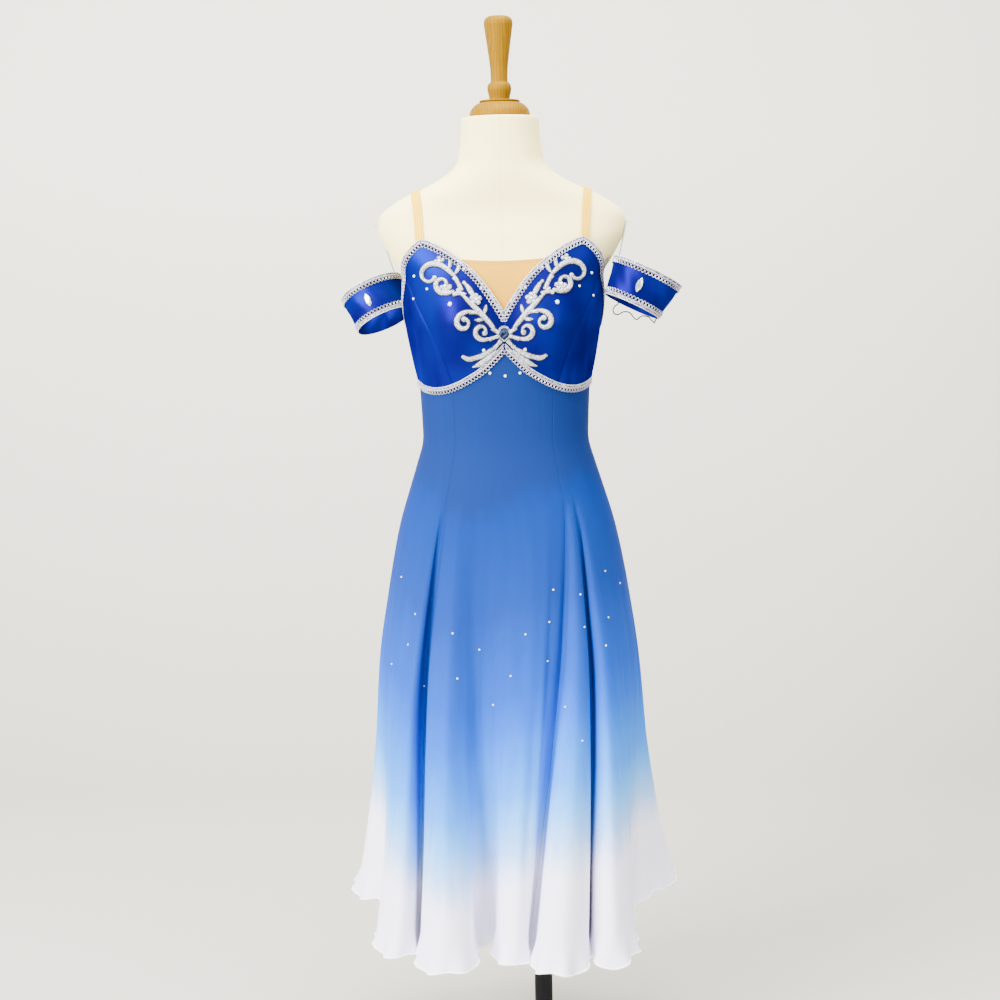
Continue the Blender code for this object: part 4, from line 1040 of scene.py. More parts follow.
    def make(self, name, finishes, replaces=(), slot=None, sharp=38.0):
        """The object, riding on the root body, with its finishes and what it stands for."""
        points = np.concatenate(self.points)
        mesh = bpy.data.meshes.new(name)
        flat = [group.ravel() for group in self.faces]
        sizes = np.concatenate([np.full(len(group), group.shape[1]) for group in self.faces])
        loops = np.concatenate(flat)
        mesh.vertices.add(len(points))
        mesh.vertices.foreach_set("co", points.astype(np.float32).ravel())
        mesh.loops.add(len(loops))
        mesh.loops.foreach_set("vertex_index", loops.astype(np.int32))
        mesh.polygons.add(len(sizes))
        starts = np.concatenate([[0], np.cumsum(sizes)[:-1]])
        mesh.polygons.foreach_set("loop_start", starts.astype(np.int32))
        mesh.polygons.foreach_set("material_index", np.concatenate(self.finish_numbers).astype(np.int32))
        mesh.update(calc_edges=True)
        layer = mesh.uv_layers.new(name="cloth")
        uvs = np.concatenate([group.reshape(-1, 2) for group in self.uvs])
        layer.data.foreach_set("uv", uvs.astype(np.float32).ravel())
        dyes = np.concatenate(self.dyes)
        if dyes.any():
            dye = mesh.attributes.new("dye", "FLOAT", "POINT")
            dye.data.foreach_set("value", dyes.astype(np.float32))
        for maker in finishes:
            mesh.materials.append(finish_of(maker))
        mesh.shade_smooth()
        mesh.set_sharp_from_angle(angle=math.radians(sharp))
        if mesh.validate(clean_customdata=False):
            raise RuntimeError(f"the mesh of {name} has faces that can't stand")
        piece = bpy.data.objects.new(name, mesh)
        bpy.context.scene.collection.objects.link(piece)
        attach(piece, "root")
        if replaces:
            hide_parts(*replaces)
        return piece


def ball(sides, rings):
    """A small sphere of unit radius: rings of latitude joined to two poles, as quads and triangles."""
    height = np.cos(np.linspace(0, math.pi, rings + 1))[1:-1]
    turn = np.linspace(0, 2 * math.pi, sides, endpoint=False)
    wide = np.sqrt(1 - height**2)
    grid = np.stack(
        [wide[:, None] * np.cos(turn), wide[:, None] * np.sin(turn), height[:, None] + 0 * turn], axis=-1
    )
    points = np.concatenate([grid.reshape(-1, 3), [(0, 0, 1), (0, 0, -1)]])
    return facing_out(points, stack_faces(rings - 1, sides))


def hoop(thick, sides=12, tube=4):
    """A ring in the x-y plane: a circle of unit radius carried by a small circle of that thickness."""
    a = np.linspace(0, 2 * math.pi, sides, endpoint=False)[:, None]
    b = np.linspace(0, 2 * math.pi, tube, endpoint=False)[None, :]
    wide = 1 + thick * np.cos(b)
    points = np.stack([wide * np.cos(a), wide * np.sin(a), thick * np.sin(b) + 0 * a], axis=-1).reshape(-1, 3)
    rows, columns = grid_quads(sides, tube, around=True, along=True)
    return facing_out(points, [(rows % sides) * tube + columns % tube])


CUT_ROWS = [
    # share of the outline, height, turn in half facets: back, girdle, crown and table
    (0.96, 0.0, 0),
    (1.0, 0.10, 0),
    (0.80, 0.55, 1),
    (0.52, 0.85, 0),
]


def cut_stone(sides, outline):
    """A faceted stone: a flat back, a girdle, a turned row of crown facets and a table, over an outline."""
    turn = np.linspace(0, 2 * math.pi, sides, endpoint=False)
    rows = []
    for share, height, shift in CUT_ROWS:
        x, y = outline(turn + shift * math.pi / sides)
        rows.append(np.stack([x * share, y * share, np.full(sides, height)], axis=-1))
    points = np.concatenate([*rows, [(0, 0, CUT_ROWS[0][1]), (0, 0, CUT_ROWS[-1][1])]])
    c = np.arange(sides)
    n = (c + 1) % sides
    one, two, three = sides, 2 * sides, 3 * sides
    crown = [
        np.stack([one + c, one + n, two + c], axis=1),
        np.stack([two + c, one + n, two + n], axis=1),
        np.stack([two + c, three + n, three + c], axis=1),
        np.stack([two + c, two + n, three + n], axis=1),
    ]
    _, fans = stack_faces(4, sides)
    return facing_out(points, [np.stack([c, n, one + n, one + c], axis=1), np.concatenate([*crown, fans])])


def smooth_columns(rows, at):
    """The columns of a table at other places: cubic between rows, with slopes from the rows on each side."""
    table = np.array(rows, float)
    x = table[:, 0]
    at = np.clip(np.asarray(at, float), x[0], x[-1])
    i = np.clip(np.searchsorted(x, at, side="right") - 1, 0, len(x) - 2)
    h = x[i + 1] - x[i]
    t = (at - x[i]) / h
    found = []
    for column in range(1, table.shape[1]):
        y = table[:, column]
        slope = np.gradient(y, x)
        found.append(
            (2 * t**3 - 3 * t**2 + 1) * y[i]
            + (t**3 - 2 * t**2 + t) * h * slope[i]
            + (3 * t**2 - 2 * t**3) * y[i + 1]
            + (t**3 - t**2) * h * slope[i + 1]
        )
    return found


def smooth_route(route, steps):
    """Points on a smooth curve through a route, with that many steps from one point to the next."""
    rows = [(k, *point) for k, point in enumerate(route)]
    at = np.linspace(0, len(route) - 1, (len(route) - 1) * steps + 1)
    return np.stack(smooth_columns(rows, at), axis=-1)


def ring_point(angle, z, half_width, front, back):
    """A point of a body ring: an ellipse, fuller at its corners, deeper in front where the bust is."""
    fuller = 1 + SQUARENESS * np.sin(2 * angle) ** 2
    x = half_width * np.sin(angle) * fuller
    depth = np.where(np.cos(angle) > 0, front, back)
    y = -depth * np.cos(angle) * fuller
    spread = np.where(z > BUST_Z, BUST_RISE, BUST_DROP)
    side = np.exp(-(((x - BUST_X) / BUST_WIDTH) ** 2)) + np.exp(-(((x + BUST_X) / BUST_WIDTH) ** 2))
    bust = BUST_DEPTH * side * np.exp(-(((z - BUST_Z) / spread) ** 2))
    y = y - bust * np.clip(np.cos(angle), 0, 1) ** 0.5
    return np.stack([x, y, z], axis=-1)


def form_point(angle, z, rings=FORM_RINGS):
    """A point of the dress form's surface, or of another body with rings of its own."""
    angle, z = np.broadcast_arrays(np.asarray(angle, float), np.asarray(z, float))
    return ring_point(angle, z, *smooth_columns(rings, z))


DRESS_RINGS = SKIRT_RINGS + [
    (z, *(size + DRESS_EASE for size in sizes)) for z, *sizes in FORM_RINGS if z > SKIRT_RINGS[-1][0] + 0.01
]


def dress_point(angle, z):
    """A point of the garment's surface, without its folds."""
    return form_point(angle, z, DRESS_RINGS)


def unit(vectors):
    return vectors / np.linalg.norm(vectors, axis=-1, keepdims=True)


def slopes(surface, angle, z):
    """How a surface's point moves with its angle and with its height."""
    step_angle, step_z = 1e-3, 2e-4
    across = (surface(angle + step_angle, z) - surface(angle - step_angle, z)) / (2 * step_angle)
    up = (surface(angle, z + step_z) - surface(angle, z - step_z)) / (2 * step_z)
    return across, up


def normal_of(surface, angle, z):
    """The outward unit normal: across the surface crossed with up it."""
    return unit(np.cross(*slopes(surface, angle, z)))


def move_on_dress(angle, z, direction, distance):
    """Angles and heights reached by going some distance over the garment in a 3-D direction."""
    step = distance / WALK_STEPS
    for _ in range(WALK_STEPS):
        across, up = slopes(dress_point, angle, z)
        aa, au, uu = (across * across).sum(-1), (across * up).sum(-1), (up * up).sum(-1)
        da, du = (across * direction).sum(-1), (up * direction).sum(-1)
        det = aa * uu - au * au
        angle, z = angle + step * (da * uu - du * au) / det, z + step * (du * aa - da * au) / det
    return angle, z


def row_axes(along, normals):
    """Axes of what is sewn along a row: along it, across it and out."""
    across = unit(np.cross(normals, along))
    return np.stack([along, across, unit(np.cross(along, across))], axis=1)


def underbust_height(angle):
    """Height of the underbust seam at an angle, the same on both sides."""
    return smooth_columns(UNDERBUST, np.degrees(np.abs(angle)))[0]


def bodice_grid(side, first_line, last_line, rows, columns):
    """Angles and heights of one bodice patch between two of its lines, bottom row to top row."""
    names = [row[0] for row in BODICE_LINES]
    first, last = names.index(first_line), names.index(last_line)
    share = np.linspace(0, 1, rows + 1)[:, None]
    angles, heights = [], []
    for k in range(first, last):
        _, low_a, top_a, top_z, _ = BODICE_LINES[k]
        name, low_b, top_b, next_z, curve = BODICE_LINES[k + 1]
        across = np.linspace(0, 1, columns // (last - first) + 1)[None, :]
        across = across if k + 1 == last else across[:, :-1]
        low = low_a + (low_b - low_a) * across
        top = top_a + (top_b - top_a) * across
        bend = PRINCESS_BEND * across if name == "princess_front" else 0.0
        bend = PRINCESS_BEND * (1 - across) if name == "side" else bend
        angle = np.radians(low + (top - low) * share + bend * np.sin(math.pi * share))
        edge = next_z + (top_z - next_z) * (1 - across) ** curve
        bottom = underbust_height(np.radians(low))
        heights.append(bottom + (edge - bottom) * share)
        angles.append(angle)
    return side * np.concatenate(angles, axis=1), np.concatenate(heights, axis=1)


def angle_at(x, z, rings):
    """The angle at which a body of those rings has a given x at a given height, in front."""
    wide = smooth_columns(rings, z)[0]
    angle = np.arcsin(np.clip(x / wide, -1, 1))
    for _ in range(8):
        fuller = 1 + SQUARENESS * np.sin(2 * angle) ** 2
        angle = np.arcsin(np.clip(x / (wide * fuller), -1, 1))
    return angle


def on_cup(x, z):
    """Points and normals of the garment at x and z, in front."""
    x, z = np.asarray(x, float), np.asarray(z, float)
    angle = angle_at(x, z, DRESS_RINGS)
    return dress_point(angle, z), normal_of(dress_point, angle, z)


# Skirt.


def round_the_hem(at):
    """Angle, hem place and growth at places counted in fold lines, on a smooth closed curve through them."""
    table = np.array([row[1:] for row in HEM_FOLDS], float)
    angle, place, growth = np.radians(table[:, 0]), table[:, 1:3], table[:, 3]
    count = len(angle)
    at = np.asarray(at, float)
    k = np.floor(at).astype(int)
    t = (at - k)[:, None]
    before, here, after, beyond = (place[(k + shift) % count] for shift in (-1, 0, 1, 2))
    curve = 0.5 * (
        2 * here
        + (after - before) * t
        + (2 * before - 5 * here + 4 * after - beyond) * t**2
        + (3 * here - before - 3 * after + beyond) * t**3
    )
    flat = t[:, 0]
    turn = np.where((k % count) == count - 1, 2 * math.pi, 0.0) + 2 * math.pi * (k // count)
    low = angle[k % count] + 2 * math.pi * (k // count)
    high = angle[(k + 1) % count] + turn
    return low + (high - low) * flat, curve, growth[k % count] * (1 - flat) + growth[(k + 1) % count] * flat


def skirt_surface(at, levels):
    """Points of the skirt from the underbust (level 0) to the hem (level 1).

    Each point is the body ring's own, moved towards its hem line by the share that its fold has opened."""
    angle, hem, growth = round_the_hem(at)
    body_angle = (angle + math.pi) % (2 * math.pi) - math.pi
    top = underbust_height(body_angle)
    hem_z = HEM_HEIGHT + HEM_RISE_TO_BACK * hem[:, 1]
    level = np.asarray(levels, float)[:, None]
    z = top + (hem_z - top) * level
    points = dress_point(np.broadcast_to(body_angle, z.shape), z)
    at_hem = dress_point(body_angle, hem_z)
    grown = np.clip((FOLD_TOP - z) / (FOLD_TOP - hem_z), 0, 1) ** growth
    points[..., 0] += grown * (hem[:, 0] - at_hem[:, 0])
    points[..., 1] += grown * (hem[:, 1] - at_hem[:, 1])
    return points, body_angle


def round_normals(points):
    """Outward normals of a grid that closes round, from its neighbouring points."""
    across = np.roll(points, -1, axis=1) - np.roll(points, 1, axis=1)
    return unit(np.cross(np.gradient(points, axis=0), across))


def fold_column(name, sizes):
    """The skirt's column on which a fold line lies."""
    return [row[0] for row in HEM_FOLDS].index(name) * sizes.skirt_steps


def fine_skirt(sizes):
    """Points, normals and dye of the whole skirt, with sunk seams, soft drape and a waved hem."""
    count = len(HEM_FOLDS) * sizes.skirt_steps
    at = np.arange(count) / sizes.skirt_steps
    levels = np.linspace(0, 1, sizes.skirt_rows + 1)
    levels = levels + ROW_SPREAD * np.sin(2 * math.pi * levels) / (2 * math.pi)
    points, angle = skirt_surface(at, levels)
    normals = round_normals(points)
    run = np.linalg.norm(np.roll(points[-1], -1, axis=0) - points[-1], axis=1)
    along = np.concatenate([[0.0], np.cumsum(run)[:-1]])
    once = 2 * math.pi * along / run.sum()
    phase = once * round(run.sum() / sizes.hem_wave_pitch)
    phase = phase + sum(drift * np.sin(once * times) for drift, times in WAVE_DRIFTS)
    low = np.clip((levels - 1 + HEM_SHARE) / HEM_SHARE, 0, 1)[:, None] ** 2
    points = points + normals * (low * (sizes.hem_flare + sizes.hem_wave * np.sin(phase)))[..., None]
    points[..., 2] += sizes.hem_wave * 0.8 * low * np.cos(phase * 0.5 + 0.7)
    fall = np.clip((FOLD_TOP - points[..., 2]) / DRAPE_DROP, 0, 1)
    drape = sum(depth * np.sin(angle * turns + points[..., 2] * rise) for depth, turns, rise in DRAPES)
    points = points + normals * (drape * fall)[..., None]
    for _, line, _ in SKIRT_SEAMS:
        apart = np.abs((np.arange(count) - fold_column(line, sizes) + count // 2) % count - count // 2)
        sunk = SEAM_SINK * np.exp(-((apart / SEAM_COLUMNS) ** 2)) * (1 - low)
        points = points - normals * sunk[..., None]
    line = smooth_columns(DYE_LINE, np.degrees(angle))[0]
    dye = np.clip((line - points[..., 2] + DYE_ABOVE) / DYE_REACH, 0.001, 1)
    return points, round_normals(points), dye


def cut_sizes(points):
    """Width, length and area of a panel laid flat: its longest row, its longest column, its cells' areas."""
    width = np.linalg.norm(np.diff(points, axis=1), axis=-1).sum(axis=1).max()
    length = np.linalg.norm(np.diff(points, axis=0), axis=-1).sum(axis=0).max()
    one = points[1:, 1:] - points[:-1, :-1]
    two = points[1:, :-1] - points[:-1, 1:]
    area = 0.5 * np.linalg.norm(np.cross(one, two), axis=-1).sum()
    return float(width), float(length), float(area)


def declare_cut(points):
    """Measures the width, length and area of a piece's grid laid flat, and does nothing more with them."""
    width, length, area = cut_sizes(points)


class DressOperator:
    """What the operators share: they only run on a scene that has the dress's settings."""

    bl_options = {"REGISTER"}

    @classmethod
    def poll(cls, context):
        return hasattr(context.scene, "dress_sizes")


class DRESS_OT_skirt(DressOperator, bpy.types.Operator):
    """Sews the seven gores of the skirt, dyed from blue to white, and their rolled hem"""

    bl_idname = "dress.skirt"
    bl_label = "Skirt"

    def execute(self, context):
        sizes = context.scene.dress_sizes
        points, normals, dye = fine_skirt(sizes)
        hem = Shape()
        middle = points[-1] + np.array([0, 0, sizes.hem_roll * 0.4])
        hem.tube(middle, sizes.hem_roll, sides=8, closed=True, reference=(0, 0, 1.0))
        rolled = hem.make("skirt_rolled_hem", [white_thread], slot="blue_crepe", sharp=80)
        count = points.shape[1]
        for gore, first_line, last_line in SKIRT_SEAMS:
            first, last = fold_column(first_line, sizes), fold_column(last_line, sizes)
            last += count if last <= first else 0
            columns = np.arange(first, last + 1) % count
            cloth = Shape()
            cloth.wall(points[:, columns], normals[:, columns], 0.0, CREPE_WALL, dye=dye[:, columns])
            piece = cloth.make(f"{gore}_cloth", [blue_crepe], [gore], "blue_crepe", sharp=60)
            declare_cut(points[:, columns])
        return {"FINISHED"}


# Bodice.


def satin_drape(angle, z, side):
    """Height of the satin's small folds: drags up from the side seam and gathers at the underbust."""
    turned = np.degrees(np.abs(angle))
    up = np.clip((z - underbust_height(angle)) / 0.12, 0, 1)
    drag = DRAG_DEPTH * np.exp(-(((turned - DRAG_ANGLE) / DRAG_REACH) ** 2)) * np.sin(math.pi * up) ** 0.7
    drag = drag * np.sin(np.radians(turned - 30) * 15 + up * 3.0 + side * 0.8)
    gathers = GATHER_DEPTH * np.exp(-up * 4.5) * np.clip((turned - 24) / 20, 0, 1)
    gathers = gathers * np.sin(np.radians(turned) * 36 + side)
    return np.clip(drag + gathers, SATIN_SINK, SATIN_PROUD) + SATIN_LIFT


class DRESS_OT_bodice(DressOperator, bpy.types.Operator):
    """Sews the satin bodice: centre and side cups, and two panels each side of the centre back"""

    bl_idname = "dress.bodice"
    bl_label = "Bodice"

    def execute(self, context):
        rows = context.scene.dress_sizes.bodice_rows
        for side, letter in ((-1, "l"), (1, "r")):
            for name, first_line, last_line, columns in BODICE_PANELS:
                angle, z = bodice_grid(side, first_line, last_line, rows, columns)
                points = dress_point(angle, z)
                normals = normal_of(dress_point, angle, z)
                column = np.arange(points.shape[1])
                step = np.linalg.norm(points[rows // 2, 1] - points[rows // 2, 0])
                from_seam = np.minimum(column, column[-1] - column) * step
                seam = SATIN_SEAM_SINK * np.exp(-((from_seam / SATIN_SEAM_WIDTH) ** 2))
                lift = satin_drape(angle, z, side) * np.clip(from_seam / SATIN_SEAM_EASE, 0, 1) - seam
                surface = points + normals * lift[..., None]
                cloth = Shape()
                cloth.wall(surface, normals, 0.0, SATIN_WALL)
                node = f"{name}_{letter}"
                piece = cloth.make(f"{node}_satin", [royal_satin], [node], "royal_satin")
                declare_cut(surface)
        return {"FINISHED"}


class DRESS_OT_net(DressOperator, bpy.types.Operator):
    """Sews the nude net panel that fills the V of the neckline, with its narrow turned top"""

    bl_idname = "dress.net"
    bl_label = "Neckline net"

    def execute(self, context):
        steps = np.linspace(0, 1, 40)[:, None]
        z = INSERT_BOTTOM + (INSERT_TOP - INSERT_BOTTOM) * steps
        low = BODICE_LINES[0][3]
        _, _, reach, high, curve = BODICE_LINES[1]
        rise = np.clip((z - low) / (high - low), 0, 1)
        half = reach * (1 - (1 - rise) ** (1 / curve)) + INSERT_TUCK
        across = np.linspace(-1, 1, 61)[None, :]
        angle = np.radians(half * across)
        z = z - INSERT_DIP * (1 - across**2) * steps
        points = form_point(angle, z)
        normals = normal_of(form_point, angle, z)
        turned = INSERT_TURNING * (z > z[-1] - INSERT_TURNED)
        cloth = Shape()
        cloth.wall(points, normals, INSERT_INNER, INSERT_OUTER + turned)
        piece = cloth.make("neckline_net", [nude_mesh], ["neckline_insert"], "nude_mesh")
        declare_cut(points)
        return {"FINISHED"}


def strap_points(x, t):
    """Points where a slice at x meets the form: t is 0 at the strap's front end, 1 at its back end."""
    heights = np.linspace(*RIDGE_SEARCH, 1200)
    half_width = smooth_columns(FORM_RINGS, heights)[0]
    inside = half_width[None, :] > np.abs(x)[:, None] * 1.0005
    ridge = heights[len(heights) - 1 - np.argmax(inside[:, ::-1], axis=1)]
    low = np.where(t < 0.5, STRAP_FRONT_Z, STRAP_BACK_Z)
    z = low + (ridge - low) * np.sin((1 - np.abs(2 * t - 1)) * math.pi / 2)
    angle = angle_at(np.abs(x), z, FORM_RINGS)
    angle = np.where(t >= 0.5, math.pi - angle, angle)
    return form_point(np.copysign(angle, x), z)


def smoothed(points, passes):
    """A grid of points whose inner columns have been drawn towards their two neighbours, some times over."""
    for _ in range(passes):
        points = points.copy()
        points[:, 1:-1] = 0.25 * points[:, :-2] + 0.5 * points[:, 1:-1] + 0.25 * points[:, 2:]
    return points


class DRESS_OT_straps(DressOperator, bpy.types.Operator):
    """Sews the two nude elastic straps over the shoulders"""

    bl_idname = "dress.straps"
    bl_label = "Straps"

    def execute(self, context):
        t = np.linspace(0, 1, 110)
        front = STRAP_FRONT_X + (STRAP_TOP_X - STRAP_FRONT_X) * np.clip(2 * t, 0, 1)
        back = STRAP_TOP_X + (STRAP_BACK_X - STRAP_TOP_X) * np.clip(2 * t - 1, 0, 1)
        x = np.where(t < 0.5, front, back)
        for side, letter in ((-1, "l"), (1, "r")):
            offsets = np.linspace(-STRAP_WIDTH / 2, STRAP_WIDTH / 2, 9)
            points = smoothed(np.stack([strap_points(side * (x + o), t) for o in offsets], axis=0), 3)
            across = np.broadcast_to(points[-1] - points[0], points.shape)
            normals = unit(np.cross(np.gradient(points, axis=1), across))
            inside = np.array(IN_SHOULDER) * (side, 1, 1)
            normals = normals * np.sign(((points - inside) * normals).sum())
            crown = STRAP_OUTER + STRAP_CROWN * np.cos(np.linspace(-1.4, 1.4, len(offsets)))
            points, normals = points.transpose(1, 0, 2), normals.transpose(1, 0, 2)
            cloth = Shape()
            cloth.wall(points, normals, STRAP_INNER, crown)
            piece = cloth.make(f"strap_{letter}_elastic", [nude_elastic], [f"strap_{letter}"], "nude_elastic")
            declare_cut(points)
        return {"FINISHED"}


# Braids.


RUN_ON = 0.16


def edge_runs(side, which):
    """One half's top or underbust edge, as runs between its corners: angles and heights, front to back."""
    share = np.linspace(0, 1, 160)
    if which == "underbust":
        angle = math.pi * np.linspace(0, 1, 600)
        return [(side * angle, underbust_height(angle))]
    runs = []
    for before, after in zip(BODICE_LINES[:-1], BODICE_LINES[1:]):
        angle = np.radians(before[2] + (after[2] - before[2]) * share)
        runs.append((side * angle, after[3] + (before[3] - after[3]) * (1 - share) ** after[4]))
    return runs


def lengthened(run):
    """A run of angles and heights carried straight on past both its ends by a share of its length."""
    found = []
    for values in run:
        steps = np.arange(1, 41) / 40 * RUN_ON * len(values)
        before = values[0] - steps[::-1] * (values[1] - values[0])
        after = values[-1] + steps * (values[-1] - values[-2])
        found.append(np.concatenate([before, values, after]))
    return found


def corner_planes(side, runs):
    """For each run, the point and direction of the plane that cuts it off at its start and at its end.

    Between two runs it is the mitre: the plane square to the sum of their directions."""
    starts, ends = [], []
    ways = []
    for angle, z in runs:
        line = dress_point(angle, z)
        starts.append(line[0]), ends.append(line[-1])
        ways.append((unit(line[1] - line[0]), unit(line[-1] - line[-2])))
    planes = []
    for k in range(len(runs)):
        if k:
            first = (starts[k], unit(ways[k - 1][1] + ways[k][0]))
        else:
            first = (np.array([side * 0.0001, 0, 0]), np.array([side, 0.0, 0.0]))
        if k + 1 < len(runs):
            last = (ends[k], unit(ways[k][1] + ways[k + 1][0]))
        else:
            last = (np.array([side * 0.0003, 0, 0]), np.array([-side, 0.0, 0.0]))
        planes.append((first, last))
    return planes


def row_beside(side, run, planes, distance, count=None, pitch=None):
    """A row of points over the garment at a distance inside an edge, between two planes.

    Every point of the edge goes square to it over the surface, and the row is then spaced evenly."""
    angle, z = lengthened(run)
    line = dress_point(angle, z)
    way = -side * np.cross(normal_of(dress_point, angle, z), unit(np.gradient(line, axis=0)))
    angle, z = move_on_dress(angle, z, way, distance)
    line = dress_point(angle, z)
    (start, ahead), (end, beyond) = planes
    middle = len(line) // 2
    passed = np.nonzero((line[:middle] - start) @ ahead < 0)[0]
    first = passed[-1] + 1 if len(passed) else 0
    over = np.nonzero((line[middle:] - end) @ beyond > 0)[0]
    last = middle + over[0] if len(over) else len(line)
    angle, z, line = angle[first:last], z[first:last], line[first:last]
    run_length = np.concatenate([[0], np.cumsum(np.linalg.norm(np.diff(line, axis=0), axis=1))])
    if pitch:
        number = max(2, round(run_length[-1] / pitch))
        at = (np.arange(number) + 0.5) / number * run_length[-1]
    else:
        at = np.linspace(0, run_length[-1], count)
    angle, z = np.interp(at, run_length, angle), np.interp(at, run_length, z)
    points = dress_point(angle, z)
    normals = normal_of(dress_point, angle, z)
    return points, normals, row_axes(unit(np.gradient(points, axis=0)), normals)


# Silver braid: a strip between two rows of beads, then a row of rings; places are measured from its edge.
BRAID_STARTS = {"top": -0.0004, "underbust": -0.0060}
BRAID_LIFT = 0.0009
STRIP_WIDTH = 0.0042
STRIP_CROWN = 0.0004 * np.array([0, 0.8, 1, 0.8, 0])[:, None]
STRIP_EDGES = (0.0002, STRIP_WIDTH - 0.0001)
EDGE_BEAD = (0.0007, 0.0007, 0.0006)
EDGE_BEAD_PITCH = 0.0019
RING_MIDDLE = 0.0076
RING_SIZE = (0.0023, 0.0029, 0.0024)
RING_THICKNESS = 0.21
HOLE_SHADOW_DOT = (0.0021, 0.0027, 0.0006)
LINK_BEAD = 0.0006
BRAID_FINISHES = [silver_thread, sequin_strip, pearl, midnight_foil]


def add_rings(piece, row, lift):
    """Oval rings side by side over dark dots of painted shadow, with a small bead where two of them meet."""
    points, normals, axes = row
    piece.scatter(hoop(RING_THICKNESS), points + normals * (lift + 0.0008), axes, RING_SIZE)
    # Painted shadow: dark dots under the rings stand for the shade in their holes.
    piece.scatter(ball(8, 4), points + normals * (lift - 0.0002), axes, HOLE_SHADOW_DOT, finish=3)
    meeting = points + normals * (lift + 0.0010) + axes[:, 0] * 0.0027
    piece.scatter(ball(6, 4), meeting, axes, LINK_BEAD, finish=2)


def add_edge_beads(piece, row, lift):
    """Small beads set close along an edge of the braid's strip."""
    points, normals, axes = row
    piece.scatter(ball(6, 3), points + normals * lift, axes, EDGE_BEAD, finish=2)


class DRESS_OT_braids(DressOperator, bpy.types.Operator):
    """Sews silver braid along the top edge and the underbust: a beaded strip with a row of rings inside it"""

    bl_idname = "dress.braids"
    bl_label = "Braids"

    def execute(self, context):
        sizes = context.scene.dress_sizes
        lift = SATIN_WALL + BRAID_LIFT
        for side, letter in ((-1, "l"), (1, "r")):
            for which, start in BRAID_STARTS.items():
                braid = Shape()
                runs = edge_runs(side, which)
                for run, planes in zip(runs, corner_planes(side, runs)):
                    distances = start + np.linspace(0, STRIP_WIDTH, len(STRIP_CROWN))
                    rows = [row_beside(side, run, planes, d, count=90) for d in distances]
                    points = np.stack([row[0] for row in rows])
                    normals = np.stack([row[1] for row in rows])
                    braid.wall(points, normals, lift - 0.0008, lift + 0.0006 + STRIP_CROWN, finish=1)
                    for place in STRIP_EDGES:
                        row = row_beside(side, run, planes, start + place, pitch=EDGE_BEAD_PITCH)
                        add_edge_beads(braid, row, lift + 0.0006)
                    row = row_beside(side, run, planes, start + RING_MIDDLE, pitch=sizes.ring_pitch)
                    add_rings(braid, row, lift)
                node = f"{which}_braid_{letter}"
                braid.make(f"{node}_trim", BRAID_FINISHES, [node], "silver_braid", sharp=60)
        return {"FINISHED"}


# Armbands.


def band_frame(letter):
    """Axes of an armband: across, back and up, turned outward and then back."""
    out, back = np.radians(ARMBANDS[letter][1]), np.radians(ARMBANDS[letter][2])
    across = np.array([math.cos(out), 0.0, -math.sin(out)])
    up = np.array([math.sin(out), 0.0, math.cos(out)])
    depth = np.array([0.0, 1.0, 0.0])
    return across, depth * math.cos(back) - up * math.sin(back), up * math.cos(back) + depth * math.sin(back)


def band_surface(letter, turn, height):
    """Points and outward normals of an armband at a turn round it and a height above its middle."""
    centre, _, _, half_width, taper, depth_share = ARMBANDS[letter]
    across, depth, up = band_frame(letter)
    turn, height = np.broadcast_arrays(np.asarray(turn, float), np.asarray(height, float))
    wide = half_width - taper * (0.5 - height / BAND_HEIGHT)
    x = wide * np.sin(turn)
    y = -wide * depth_share * np.cos(turn)
    points = np.array(centre) + x[..., None] * across + y[..., None] * depth + height[..., None] * up
    normals = (np.sin(turn) * depth_share)[..., None] * across - np.cos(turn)[..., None] * depth
    return points, unit(normals)


def band_row(letter, height, pitch):
    """Places evenly spaced round an armband, with axes along, across and out."""
    fine = np.linspace(0, 2 * math.pi, 721)
    line = band_surface(letter, fine, height)[0]
    run = np.concatenate([[0], np.cumsum(np.linalg.norm(np.diff(line, axis=0), axis=1))])
    number = round(run[-1] / pitch)
    turn = np.interp(np.arange(number) / number * run[-1], run, fine)
    points, normals = band_surface(letter, turn, height)
    return points, normals, row_axes(unit(np.roll(points, -1, axis=0) - np.roll(points, 1, axis=0)), normals)


class DRESS_OT_armbands(DressOperator, bpy.types.Operator):
    """Sews the two satin armbands, each with a braid round its top and its bottom edge"""

    bl_idname = "dress.armbands"
    bl_label = "Armbands"

    def execute(self, context):
        sizes = context.scene.dress_sizes
        half = BAND_HEIGHT / 2
        lift = BAND_WALL + 0.0003
        turn = np.linspace(0, 2 * math.pi, 120, endpoint=False)[None, :]
        for letter in ARMBANDS:
            height = np.linspace(-half, half, 25)[:, None]
            points, normals = band_surface(letter, turn, height)
            ease = 0.0005 * np.sin(turn * 9 + height * 160) * np.cos(height / half * math.pi / 2)
            points = points + normals * ease[..., None]
            band = Shape()
            band.wall(points, normals, 0.0, BAND_WALL, around=True)
            piece = band.make(f"armband_{letter}_satin", [royal_satin], [f"armband_{letter}"], "royal_satin")
            declare_cut(points)
            for place, sign in (("top", 1), ("bottom", -1)):
                braid = Shape()
                edge = half + BRAID_OVERHANG
                heights = sign * (edge - np.linspace(0, STRIP_WIDTH, len(STRIP_CROWN)))[:, None]
                points, normals = band_surface(letter, turn, heights)
                braid.wall(points, normals, lift, lift + 0.0007 + STRIP_CROWN, around=True, finish=1)
                for inside in STRIP_EDGES:
                    row = band_row(letter, sign * (edge - inside), EDGE_BEAD_PITCH)
                    add_edge_beads(braid, row, lift + 0.0007)
                add_rings(braid, band_row(letter, sign * (edge - RING_MIDDLE), sizes.ring_pitch), lift)
                node = f"armband_{place}_braid_{letter}"
                braid.make(f"{node}_trim", BRAID_FINISHES, [node], "silver_braid", sharp=60)
        return {"FINISHED"}


# Scrolls and stones.


